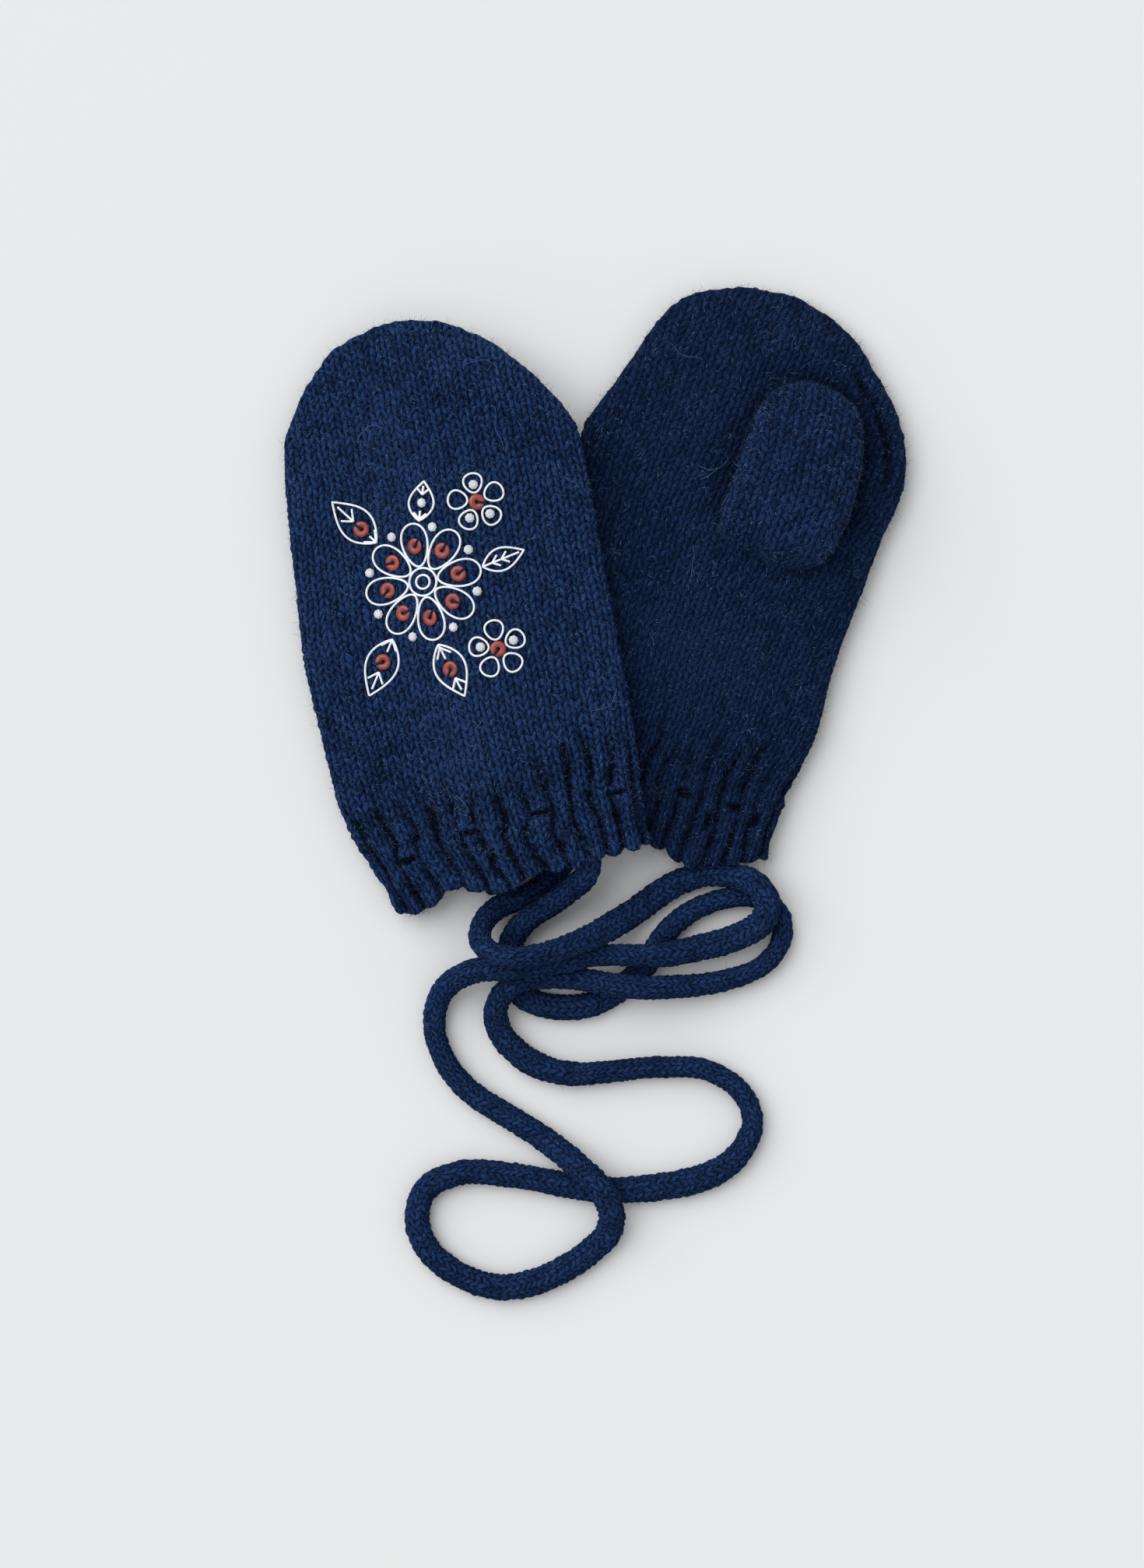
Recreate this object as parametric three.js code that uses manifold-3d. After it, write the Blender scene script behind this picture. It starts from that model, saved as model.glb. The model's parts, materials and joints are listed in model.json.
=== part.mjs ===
// A pair of knitted mittens joined by one knitted cord, lying flat on a surface.
// Millimetres, +Z up. The mittens' fingertips point along +Y, and the cord lies below their cuffs.
// Each mitten is drawn in its own frame: x across the hand, y from the hem to the fingertips, z up.
import * as THREE from 'three';
import { mergeVertices } from 'three/addons/utils/BufferGeometryUtils.js';
import Module from 'manifold-3d';

const wasm = await Module();
wasm.setup();

// Knitted walls
const GAP = 0.3;
const HAND_WALL = 2.0;
const CUFF_WALL = 2.4;
const RIB_COUNT = 26;
const RIB_DEPTH = 0.7;
const CUFF_LENGTH = 26;

// Outside thickness of each piece as it lies
const CUFF_THICK = 11.6;
const HAND_THICK = 11.0;
const THUMB_THICK = 11.6;

// The flattened oval that every knitted section follows
const ROUNDNESS = 2.8;
const FLATTENING = 1.22;
const HAND_SIDES = 36;
const THUMB_SIDES = 20;
const CUFF_SIDES = 4 * RIB_COUNT;
const OVAL_STEPS = 24;

// A usual half width of each section, by which its points are spaced, and how far its end bulges
const HAND_SECTION = { halfWidth: 48, tipBulge: 0.6 };
const THUMB_SECTION = { halfWidth: 19, tipBulge: 0.7 };
const CUFF_SECTION = { halfWidth: 44 };
const INNER_TIP_BULGE = 0.3;

// Where each mitten lies: the middle of its hem and the turn of its length from +Y
const LEFT_PLACE = { x: -21.25, y: -89, turn: 11.9 };
const RIGHT_PLACE = { x: 16.75, y: -77.5, turn: -11.7 };

// The left mitten lies across its own thumb and the right mitten's near edge. Its underside rises
// from the surface over a slope, and droops again beyond the thumb.
const THUMB_BEND = 0.4;
const LIFT = GAP + THUMB_BEND + THUMB_THICK;
const LIFT_SLOPE = table(
  ['x', 'lift'],
  [-34, 0], [-27, 0.1], [-19, 0.38], [-11, 0.72], [-5, 0.92], [0, 1],
);
const DROOP_START = 156;
const DROOP_END = 183;
const DROOP = 0.6;

// Outlines from the hem to the fingertips
const OUTLINE = ['y', 'left', 'right', 'thick'];
const LEFT_OUTLINE = table(
  OUTLINE,
  [0, -44, 40, CUFF_THICK],
  [9, -48, 40.6, CUFF_THICK],
  [22, -52.8, 41.3, CUFF_THICK],
  [38, -55.6, 42.3, HAND_THICK],
  [56, -56.2, 43, HAND_THICK],
  [78, -56.8, 43.5, HAND_THICK],
  [103, -54.8, 44.1, HAND_THICK],
  [125, -52.6, 44.8, HAND_THICK],
  [137, -51.2, 44.6, HAND_THICK],
  [144, -50, 42.1, 11],
  [152, -48.3, 37.3, 10.8],
  [160, -43.8, 31.5, 10.4],
  [168, -38.4, 25, 9.7],
  [174, -32.5, 18.2, 8.9],
  [178, -28, 12.5, 8.1],
  [181, -20, 6, 7],
  [182.6, -13, 0, 6],
);
const RIGHT_OUTLINE = table(
  OUTLINE,
  [0, -40, 38.5, CUFF_THICK],
  [11, -41, 39.6, CUFF_THICK],
  [22, -41.7, 41, CUFF_THICK],
  [33, -42.5, 44.2, HAND_THICK],
  [46, -43.5, 46.6, HAND_THICK],
  [63, -44.5, 47.2, HAND_THICK],
  [78, -45.5, 49.1, HAND_THICK],
  [92, -46.5, 51.5, HAND_THICK],
  [110, -47.5, 54.2, HAND_THICK],
  [120, -47.7, 56.7, HAND_THICK],
  [128, -46.6, 57.6, HAND_THICK],
  [138, -42, 56.4, HAND_THICK],
  [150, -36.6, 51.1, 10.8],
  [161, -32.2, 42.3, 10.3],
  [170, -27, 34.2, 9.3],
  [177, -18.3, 23.2, 8],
  [180.6, -6, 13, 6.2],
);

// The wavy lower edge of each cuff
const HEM = ['x', 'rise'];
const LEFT_HEM = table(
  HEM,
  [-47, 1.7], [-40, -3.3], [-33, -2.1], [-25, 2.6], [-16, -0.2],
  [-10, -1.9], [5, 1.9], [12, 1.3], [27, 2.5], [40, 3.6],
);
const RIGHT_HEM = table(
  HEM,
  [-40, 0.5], [-0.5, 0.1], [6.4, -1.2], [13, -4.2], [20, -2.4], [29, -0.9], [40, 3.5],
);

// Creases pressed into the upper side of each hand: a middle, half sizes and a depth
const CREASE = ['x', 'y', 'across', 'along', 'depth'];
const LEFT_CREASES = table(CREASE, [15, 50, 7, 16, 0.9]);
const RIGHT_CREASES = table(CREASE, [49, 134, 7, 27, 1]);

// Thumbs: the right one lies on its palm, the left one is folded beneath its palm
const THUMB_SLANT = -0.161;
const THUMB_TURNS = [0, 30, 60];
const THUMB_OUTLINE = ['y', 'left', 'right', 'thick'];
const RIGHT_THUMB = {
  base: { left: 2, right: 33 },
  outline: table(
    THUMB_OUTLINE,
    [107.5, 2.2, 40.2, THUMB_THICK],
    [119, 3.4, 42.5, THUMB_THICK],
    [129, 4.6, 42.5, THUMB_THICK],
    [138, 5.9, 41.6, THUMB_THICK],
    [144, 7.7, 39.8, 11],
    [148.5, 10.2, 36.6, 9.8],
    [151.5, 13.8, 32.5, 8],
    [153, 17, 28, 6.2],
  ),
};
const LEFT_THUMB = {
  base: { left: 1.5, right: 26.5 },
  outline: table(
    THUMB_OUTLINE,
    [104.5, 1.2, 31, THUMB_THICK],
    [114, 2, 34.6, THUMB_THICK],
    [124, 3.6, 37.6, THUMB_THICK],
    [134, 5.4, 39.4, THUMB_THICK],
    [142, 7.8, 39, 11],
    [148, 10.6, 36, 9.8],
    [151.5, 13.8, 32.5, 8],
    [153, 17, 28.6, 6.2],
  ),
};

// The cord: a knitted tube, wider than it is high, and the height it gains at a crossing
const CORD_WIDTH = 8.2;
const CORD_HEIGHT = 6.2;
const CORD_SIDES = 8;
const CORD_STEPS = 80;
const FLOOR_Z = CORD_HEIGHT / 2;
const CUFF_MIDDLE = CUFF_THICK / 2;

// Its centre line from inside the left cuff to inside the right one
const CORD_ROUTE = [
  [-5.5, -71.5, LIFT + CUFF_MIDDLE], [-2, -82, LIFT + CUFF_MIDDLE], [-3, -88.3, 16.7],
  [-8, -93.2, 11.6], [-15, -98.3, 9.4], [-23, -104, 6.2], [-27.3, -111, FLOOR_Z],
  [-27.5, -119.5, FLOOR_Z], [-22.5, -128, FLOOR_Z], [-10, -131.3, FLOOR_Z],
  [2.5, -128.7, FLOOR_Z], [17.5, -116.2, FLOOR_Z], [22, -108.2, FLOOR_Z],
  [32.5, -99.5, FLOOR_Z], [49.5, -95.5, FLOOR_Z], [59.2, -100.7, FLOOR_Z],
  [60, -109.5, FLOOR_Z], [54.5, -117.3, FLOOR_Z], [41, -122.7, 4],
  [16.2, -124.6, 9.4], [5.5, -123.6, 9.7], [-4, -122, 8.9], [-16.2, -121.5, 9],
  [-26.2, -123.2, 9.7], [-31.5, -129.8, 7.6], [-31, -138.5, 3.4],
  [-22.2, -148, FLOOR_Z], [-9.5, -152.5, FLOOR_Z], [21.2, -150.5, FLOOR_Z],
  [37, -151.8, FLOOR_Z], [47.8, -159.5, FLOOR_Z], [50.7, -169, FLOOR_Z],
  [45.7, -179.2, FLOOR_Z], [35, -186, FLOOR_Z], [5.2, -190.2, FLOOR_Z],
  [-27.5, -185.3, FLOOR_Z], [-42.7, -184.5, FLOOR_Z], [-54.2, -189.5, FLOOR_Z],
  [-57.5, -199, FLOOR_Z], [-54, -209.2, FLOOR_Z], [-43.7, -217.5, FLOOR_Z],
  [-30.5, -221.5, FLOOR_Z], [-16.2, -218.6, FLOOR_Z], [-3, -211, FLOOR_Z],
  [4, -204, 4.4], [5.2, -196.5, 8.6], [1.5, -189, 9.8], [-7, -180.8, 6.8],
  [-18.2, -172.5, 3.3], [-41.7, -157.2, FLOOR_Z], [-49.2, -147, FLOOR_Z],
  [-52, -136.2, FLOOR_Z], [-49.2, -126.2, 4.9], [-41.2, -120, 10.2],
  [-31, -118, 15], [-20.7, -117.2, 14.7], [-9.2, -115.7, 13.2], [0, -114.2, 10.4],
  [21.5, -114, 9.8], [36, -111.3, 6.2], [46.2, -108.2, 6.4], [53.6, -103.4, 9],
  [55, -97.4, 9.8], [51.8, -91.6, 9.2], [44.2, -88.7, 6.4], [35.2, -88.3, 3.7],
  [25.2, -91.8, FLOOR_Z], [13.5, -99.8, 4], [2.2, -106.3, 12.4], [-9.2, -111, 18.4],
  [-19.7, -113.7, 20.6], [-29.5, -114, 20.6], [-36.2, -110.4, 15.6],
  [-36.4, -104.5, 9.4], [-31, -98.8, 4.4], [-20.7, -94.5, FLOOR_Z],
  [-13, -88.3, FLOOR_Z], [-7.8, -81, 4], [-5.2, -74, CUFF_MIDDLE], [-3.2, -65, CUFF_MIDDLE],
];

// The trimming on the back of the left hand, around a point in that mitten's frame
const TRIM_CENTRE = { x: -9.5, y: 95 };
const SEQUIN = { radius: 2.5, hole: 0.6, thick: 0.3, cup: 0.25, sides: 10 };
const STONE = { radius: 1.55, back: 1.4, table: 0.85, girdle: 0.35, height: 1.15, sides: 8 };
const FEELERS = 12;
const BLOSSOM = { x: -4, y: 4, petals: 8, sequinRadius: 11.6, stoneRadius: 17.6 };
const SMALL_BLOSSOMS = [
  { x: 18, y: 25, petals: 5, stones: [0, 2, 3] },
  { x: 15, y: -22, petals: 5, stones: [1, 4] },
];
const SMALL_STONE_RADIUS = 5.6;
const LEAF_SEQUINS = [{ x: -20, y: 25 }, { x: -22, y: -18 }, { x: -1, y: -25 }];
const LEAF_STONE = { x: 1, y: 28.5 };

// Finishes
const NAVY = new THREE.MeshStandardMaterial({ color: 0x1b2c4a, roughness: 0.95, metalness: 0 });
const BRICK = new THREE.MeshStandardMaterial({ color: 0xa84b3e, roughness: 0.45, metalness: 0.1 });
const CRYSTAL = new THREE.MeshStandardMaterial({ color: 0xe4e9f0, roughness: 0.08, metalness: 0.2 });

// Turns rows of numbers into records with the named columns
function table(columns, ...rows) {
  return rows.map((row) => Object.fromEntries(columns.map((name, i) => [name, row[i]])));
}

// A row between the rows of a table, by straight lines along one column
function rowAt(rows, column, value) {
  const last = rows.length - 1;
  if (value <= rows[0][column]) return { ...rows[0], [column]: value };
  if (value >= rows[last][column]) return { ...rows[last], [column]: value };
  const after = rows.findIndex((row) => row[column] > value);
  const a = rows[after - 1];
  const b = rows[after];
  const t = (value - a[column]) / (b[column] - a[column]);
  const names = Object.keys(a);
  return Object.fromEntries(names.map((name) => [name, THREE.MathUtils.lerp(a[name], b[name], t)]));
}

// Points of a flattened oval, as shares of its half width and half thickness, spaced evenly
// along an oval of the given size
function evenOval(count, halfWidth, halfThick) {
  const share = (value) => Math.sign(value) * Math.abs(value) ** (2 / ROUNDNESS);
  const fine = count * OVAL_STEPS;
  const points = [];
  const lengths = [0];
  for (let i = 0; i <= fine; i += 1) {
    const angle = (2 * Math.PI * i) / fine;
    points.push([share(Math.cos(angle)), share(Math.sin(angle))]);
    if (i === 0) continue;
    const du = (points[i][0] - points[i - 1][0]) * halfWidth;
    const dv = (points[i][1] - points[i - 1][1]) * halfThick;
    lengths.push(lengths[i - 1] + Math.hypot(du, dv));
  }
  const oval = [];
  for (let k = 0, i = 0; k < count; k += 1) {
    const wanted = (lengths[fine] * k) / count;
    while (lengths[i + 1] < wanted) i += 1;
    oval.push(points[i]);
  }
  return oval;
}

// The oval is pressed flat beneath
function pressed(v) {
  return v >= 0 ? v : Math.max(-1, v * FLATTENING);
}

// How far the underside of the left mitten stands above the surface
function leftLift(x, y) {
  const droop = 1 - DROOP * THREE.MathUtils.smoothstep(y, DROOP_START, DROOP_END);
  return LIFT * rowAt(LIFT_SLOPE, 'x', x).lift * droop;
}

const noLift = () => 0;

// One ring of a mitten's wall: the outline at its row, moved in by the wall's inset
function mittenRing(row, oval, inset, liftAt, riseAt = () => 0) {
  const middle = (row.left + row.right) / 2;
  const halfWidth = (row.right - row.left) / 2 - inset;
  return oval.map(([u, v]) => {
    const x = middle + halfWidth * u;
    const y = row.y + riseAt(x);
    const z = row.thick / 2 + (row.thick / 2 - inset) * pressed(v) + liftAt(x, y);
    return new THREE.Vector3(x, y, z);
  });
}

// How deep the creases are at a place
function creaseAt(creases, x, y) {
  const depths = creases.map((crease) => {
    const away = Math.hypot((x - crease.x) / crease.across, (y - crease.y) / crease.along);
    return crease.depth * (1 - Math.min(1, away) ** 2) ** 2;
  });
  return Math.max(...depths);
}

// The upper half of a ring sinks into the creases
function creased(ring, oval, creases) {
  return ring.map((point, k) => {
    const depth = oval[k][1] > 0 ? creaseAt(creases, point.x, point.y) : 0;
    return point.setZ(point.z - depth);
  });
}

// Two points in every four are drawn in, which makes the grooves between the ribs
function groove(ring, depth) {
  const count = ring.length;
  return ring.map((point, k) => {
    if (k % 4 < 2) return point;
    const before = ring[(k + count - 1) % count];
    const after = ring[(k + 1) % count];
    const along = after.clone().sub(before).setY(0).normalize();
    return point.clone().add(new THREE.Vector3(-along.z, 0, along.x).multiplyScalar(depth));
  });
}

// A closed body from rings in order. With poles it closes at both ends, as a pouch with a wall
// does; without them the last ring joins the first, as a tube with a wall does.
function skin(rings, poles, inverted = false) {
  const count = rings[0].length;
  const points = rings.flat();
  const faces = [];
  const addFace = (a, b, c) => faces.push(...(inverted ? [a, c, b] : [a, b, c]));
  const strips = poles ? rings.length - 1 : rings.length;
  for (let i = 0; i < strips; i += 1) {
    const here = i * count;
    const next = ((i + 1) % rings.length) * count;
    for (let k = 0; k < count; k += 1) {
      const l = (k + 1) % count;
      addFace(here + k, next + k, next + l);
      addFace(here + k, next + l, here + l);
    }
  }
  if (poles) {
    const last = (rings.length - 1) * count;
    points.push(poles.start, poles.end);
    for (let k = 0; k < count; k += 1) {
      const l = (k + 1) % count;
      addFace(points.length - 2, k, l);
      addFace(last + k, points.length - 1, last + l);
    }
  }
  const geometry = new THREE.BufferGeometry().setFromPoints(points);
  geometry.setIndex(faces);
  geometry.computeVertexNormals();
  return geometry;
}

function middleOf(ring) {
  const sum = ring.reduce((total, point) => total.add(point), new THREE.Vector3());
  return sum.divideScalar(ring.length);
}

// The ribbed cuff: a tube with a wall, grooved outside, with a wavy hem
function cuffGeometry(outline, hem, liftAt) {
  const oval = evenOval(CUFF_SIDES, CUFF_SECTION.halfWidth, CUFF_THICK / 2);
  const stations = [0, CUFF_LENGTH / 2, CUFF_LENGTH];
  const ringAt = (y, inset) => {
    const fade = 1 - y / CUFF_LENGTH;
    const riseAt = (x) => rowAt(hem, 'x', x).rise * fade;
    return mittenRing(rowAt(outline, 'y', y), oval, inset, liftAt, riseAt);
  };
  const outer = stations.map((y) => groove(ringAt(y, 0), RIB_DEPTH));
  const inner = stations.map((y) => ringAt(y, CUFF_WALL)).reverse();
  return skin([...outer, ...inner]);
}

// The hand: a pouch with a wall, open at the cuff
function handGeometry(outline, creases, liftAt) {
  const oval = evenOval(HAND_SIDES, HAND_SECTION.halfWidth, HAND_THICK / 2);
  const ring = (row, inset) => creased(mittenRing(row, oval, inset, liftAt), oval, creases);
  const start = CUFF_LENGTH + GAP;
  const rows = [rowAt(outline, 'y', start), ...outline.filter((row) => row.y > start)];
  const length = rows[rows.length - 1].y - start;
  const shorten = (length - HAND_WALL) / length;
  const outer = rows.map((row) => ring(row, 0));
  const inner = rows.map((row) => {
    return ring({ ...row, y: start + (row.y - start) * shorten }, HAND_WALL);
  });
  const tip = middleOf(outer[outer.length - 1]);
  tip.y += HAND_SECTION.tipBulge;
  const innerTip = middleOf(inner[inner.length - 1]);
  innerTip.y += INNER_TIP_BULGE;
  return skin([...inner.reverse(), ...outer], { start: innerTip, end: tip });
}

// One ring of a thumb. It starts flat around the hole in the palm, turns through a right angle
// and then runs on along the hand. Heights are counted from the plane of the hole.
function thumbRing(row, oval, inset, turn) {
  const middle = (row.left + row.right) / 2;
  const halfWidth = (row.right - row.left) / 2 - inset;
  return oval.map(([u, v]) => {
    const x = middle + halfWidth * u;
    const reach = THUMB_BEND + row.thick / 2 + (row.thick / 2 - inset) * v;
    const slant = THUMB_SLANT * (x - middle) * Math.cos(turn);
    const y = row.y - reach * Math.cos(turn) + slant;
    return new THREE.Vector3(x, y, reach * Math.sin(turn));
  });
}

// All rings of a thumb at one inset, from its mouth to its tip
function thumbRings(thumb, inset) {
  const oval = evenOval(THUMB_SIDES, THUMB_SECTION.halfWidth, THUMB_THICK / 2);
  const first = thumb.outline[0];
  const last = thumb.outline[thumb.outline.length - 1];
  const bend = THUMB_TURNS.map((degrees) => {
    const turn = THREE.MathUtils.degToRad(degrees);
    const share = Math.sin(turn);
    const left = THREE.MathUtils.lerp(thumb.base.left, first.left, share);
    const right = THREE.MathUtils.lerp(thumb.base.right, first.right, share);
    return thumbRing({ ...first, left, right }, oval, inset, turn);
  });
  const shorten = (last.y - first.y - inset) / (last.y - first.y);
  const along = thumb.outline.map((row) => {
    const y = first.y + (row.y - first.y) * shorten;
    return thumbRing({ ...row, y }, oval, inset, Math.PI / 2);
  });
  return [...bend, ...along];
}

// Lies on top of a palm, or hangs beneath one when its direction is -1
function thumbGeometry(thumb, palmZ, direction) {
  const place = (point) => point.setZ(palmZ + direction * (GAP + point.z));
  const outer = thumbRings(thumb, 0);
  const inner = thumbRings(thumb, HAND_WALL);
  const tip = middleOf(outer[outer.length - 1]);
  tip.y += THUMB_SECTION.tipBulge;
  const innerTip = middleOf(inner[inner.length - 1]);
  innerTip.y += INNER_TIP_BULGE;
  const rings = [...inner.reverse(), ...outer];
  [...rings.flat(), tip, innerTip].forEach(place);
  return skin(rings, { start: innerTip, end: tip }, direction < 0);
}

// A prism as wide as a thumb's hollow, to cut its hole through the palm's wall
function thumbHole(thumb, palmZ) {
  const mouth = thumbRings(thumb, HAND_WALL)[0];
  const shape = new THREE.Shape(mouth.map((point) => new THREE.Vector2(point.x, point.y)));
  const depth = 2 * HAND_WALL;
  const geometry = new THREE.ExtrudeGeometry(shape, { depth, bevelEnabled: false });
  return geometry.translate(0, 0, palmZ - depth / 2);
}

function toSolid(geometry) {
  const bare = geometry.clone();
  bare.deleteAttribute('normal');
  bare.deleteAttribute('uv');
  const merged = mergeVertices(bare, 1e-4);
  return new wasm.Manifold(new wasm.Mesh({
    numProp: 3,
    vertProperties: Float32Array.from(merged.attributes.position.array),
    triVerts: Uint32Array.from(merged.index.array),
  }));
}

function cut(geometry, tool) {
  const result = toSolid(geometry).subtract(toSolid(tool)).getMesh();
  const geometryOut = new THREE.BufferGeometry();
  geometryOut.setAttribute('position', new THREE.BufferAttribute(result.vertProperties, 3));
  geometryOut.setIndex(new THREE.BufferAttribute(result.triVerts, 1));
  geometryOut.computeVertexNormals();
  return geometryOut;
}

// The cord's curve keeps its flat side level and never sinks into the surface
class LyingCurve extends THREE.CatmullRomCurve3 {
  getPoint(t, target = new THREE.Vector3()) {
    super.getPoint(t, target);
    target.z = Math.max(target.z, FLOOR_Z);
    return target;
  }

  getSpacedPoints(steps) {
    return this.getPoints(steps);
  }

  computeFrenetFrames(steps) {
    const frames = { tangents: [], normals: [], binormals: [] };
    for (let i = 0; i <= steps; i += 1) {
      const tangent = this.getTangent(i / steps);
      const side = new THREE.Vector3(0, 0, 1).cross(tangent).normalize();
      frames.tangents.push(tangent);
      frames.normals.push(side);
      frames.binormals.push(tangent.clone().cross(side));
    }
    return frames;
  }
}

function cordGeometry() {
  const route = CORD_ROUTE.map((place) => new THREE.Vector3(...place));
  const corners = [];
  for (let k = 0; k < CORD_SIDES; k += 1) {
    const angle = (2 * Math.PI * k) / CORD_SIDES;
    const across = (CORD_WIDTH / 2) * Math.cos(angle);
    corners.push(new THREE.Vector2(across, (CORD_HEIGHT / 2) * Math.sin(angle)));
  }
  const extrudePath = new LyingCurve(route, false, 'centripetal');
  return new THREE.ExtrudeGeometry(new THREE.Shape(corners), { steps: CORD_STEPS, extrudePath });
}

// A cupped disc with a hole in its middle
function sequinGeometry() {
  const { radius, hole, thick, cup, sides } = SEQUIN;
  const profile = [
    [hole, 0], [radius, cup], [radius, cup + thick], [hole, thick], [hole, 0],
  ].map(([r, z]) => new THREE.Vector2(r, z));
  return new THREE.LatheGeometry(profile, sides).rotateX(Math.PI / 2);
}

// A flat-backed cut stone with a table and eight crown facets
function stoneGeometry() {
  const { radius, back, girdle, height, sides } = STONE;
  const profile = [
    [0, 0], [back, 0], [radius, girdle], [STONE.table, height], [0, height],
  ].map(([r, z]) => new THREE.Vector2(r, z));
  return new THREE.LatheGeometry(profile, sides).rotateX(Math.PI / 2);
}

// Height of the left hand's upper side
function leftTop(x, y) {
  const row = rowAt(LEFT_OUTLINE, 'y', y);
  const u = (2 * x - row.left - row.right) / (row.right - row.left);
  const bulge = (1 - Math.abs(u) ** ROUNDNESS) ** (1 / ROUNDNESS);
  return (row.thick / 2) * (1 + bulge) + leftLift(x, y) - creaseAt(LEFT_CREASES, x, y);
}

// Sets a small piece flat on the left hand's back, a gap above its highest point beneath it
function layOnHand(mesh, x, y, radius) {
  const dx = (leftTop(x + radius, y) - leftTop(x - radius, y)) / (2 * radius);
  const dy = (leftTop(x, y + radius) - leftTop(x, y - radius)) / (2 * radius);
  const normal = new THREE.Vector3(-dx, -dy, 1).normalize();
  let highest = 0;
  for (let k = 0; k < FEELERS; k += 1) {
    const angle = (2 * Math.PI * k) / FEELERS;
    for (const reach of [0, radius]) {
      const px = reach * Math.cos(angle);
      const py = reach * Math.sin(angle);
      highest = Math.max(highest, leftTop(x + px, y + py) - dx * px - dy * py);
    }
  }
  mesh.position.set(x, y, highest + GAP);
  mesh.quaternion.setFromUnitVectors(new THREE.Vector3(0, 0, 1), normal);
  return mesh;
}

// Where a blossom's petals point, as places around its middle
function petalPlaces(blossom, radius, offset) {
  return Array.from({ length: blossom.petals }, (_, k) => {
    const angle = (2 * Math.PI * (k + offset)) / blossom.petals + Math.PI / 2;
    return { x: blossom.x + radius * Math.cos(angle), y: blossom.y + radius * Math.sin(angle) };
  });
}

function sequinPlaces() {
  const petals = petalPlaces(BLOSSOM, BLOSSOM.sequinRadius, 0);
  return [...petals, ...SMALL_BLOSSOMS, ...LEAF_SEQUINS];
}

function stonePlaces() {
  const between = petalPlaces(BLOSSOM, BLOSSOM.stoneRadius, 0.5);
  const small = SMALL_BLOSSOMS.flatMap((blossom) => {
    const petals = petalPlaces(blossom, SMALL_STONE_RADIUS, 0);
    return blossom.stones.map((k) => petals[k]);
  });
  return [...between, ...small, LEAF_STONE];
}

function trimming(name, places, geometry, material, radius) {
  return places.map((place, i) => {
    const mesh = new THREE.Mesh(geometry, material);
    mesh.name = `${name}_${String(i + 1).padStart(2, '0')}`;
    return layOnHand(mesh, TRIM_CENTRE.x + place.x, TRIM_CENTRE.y + place.y, radius);
  });
}

function knitted(name, geometry) {
  const mesh = new THREE.Mesh(geometry, NAVY);
  mesh.name = name;
  return mesh;
}

function mitten(place, ...meshes) {
  const group = new THREE.Group();
  group.position.set(place.x, place.y, 0);
  group.rotation.z = THREE.MathUtils.degToRad(place.turn);
  group.add(...meshes);
  return group;
}

const leftPalm = LIFT;
const rightPalm = HAND_THICK;
const leftHand = handGeometry(LEFT_OUTLINE, LEFT_CREASES, leftLift);
const rightHand = handGeometry(RIGHT_OUTLINE, RIGHT_CREASES, noLift);
const leftMitten = mitten(
  LEFT_PLACE,
  knitted('left_cuff', cuffGeometry(LEFT_OUTLINE, LEFT_HEM, leftLift)),
  knitted('left_hand', cut(leftHand, thumbHole(LEFT_THUMB, leftPalm))),
  knitted('left_thumb', thumbGeometry(LEFT_THUMB, leftPalm, -1)),
  ...trimming('sequin', sequinPlaces(), sequinGeometry(), BRICK, SEQUIN.radius),
  ...trimming('rhinestone', stonePlaces(), stoneGeometry(), CRYSTAL, STONE.radius),
);
const rightMitten = mitten(
  RIGHT_PLACE,
  knitted('right_cuff', cuffGeometry(RIGHT_OUTLINE, RIGHT_HEM, noLift)),
  knitted('right_hand', cut(rightHand, thumbHole(RIGHT_THUMB, rightPalm))),
  knitted('right_thumb', thumbGeometry(RIGHT_THUMB, rightPalm, 1)),
);

const mittens = new THREE.Group();
mittens.add(leftMitten, rightMitten, knitted('cord', cordGeometry()));
export default mittens;
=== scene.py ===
# A pair of knitted mittens joined by a knitted cord, dressed over the frame that the solids give.
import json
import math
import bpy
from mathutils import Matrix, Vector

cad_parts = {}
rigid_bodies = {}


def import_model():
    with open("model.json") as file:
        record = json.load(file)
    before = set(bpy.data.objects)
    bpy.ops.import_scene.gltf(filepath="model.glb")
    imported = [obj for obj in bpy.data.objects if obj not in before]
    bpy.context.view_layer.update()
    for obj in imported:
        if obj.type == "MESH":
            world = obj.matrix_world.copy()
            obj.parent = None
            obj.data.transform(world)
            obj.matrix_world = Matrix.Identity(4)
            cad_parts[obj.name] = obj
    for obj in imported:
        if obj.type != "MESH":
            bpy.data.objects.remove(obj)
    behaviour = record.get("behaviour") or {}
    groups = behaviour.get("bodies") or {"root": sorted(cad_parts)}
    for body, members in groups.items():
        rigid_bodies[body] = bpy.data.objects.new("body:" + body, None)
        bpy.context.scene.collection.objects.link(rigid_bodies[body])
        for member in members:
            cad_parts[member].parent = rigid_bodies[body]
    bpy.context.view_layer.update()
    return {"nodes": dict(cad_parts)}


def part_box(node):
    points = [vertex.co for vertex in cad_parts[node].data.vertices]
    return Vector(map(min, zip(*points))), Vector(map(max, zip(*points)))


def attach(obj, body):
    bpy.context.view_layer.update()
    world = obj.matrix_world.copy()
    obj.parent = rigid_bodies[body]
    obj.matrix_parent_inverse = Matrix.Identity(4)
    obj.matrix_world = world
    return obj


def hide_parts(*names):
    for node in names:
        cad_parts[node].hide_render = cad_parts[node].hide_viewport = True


bl_info = {
    "name": "Knitted Mittens",
    "version": (1, 0, 0),
    "blender": (4, 5, 0),
    "location": "View3D > Sidebar > Mittens",
    "description": "Knit, trimming, cord and stage for a pair of mittens lying flat",
    "category": "Object",
}

from collections import namedtuple

import bpy
import numpy as np
from bpy.props import FloatProperty, FloatVectorProperty, IntProperty, PointerProperty

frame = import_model()

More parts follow.
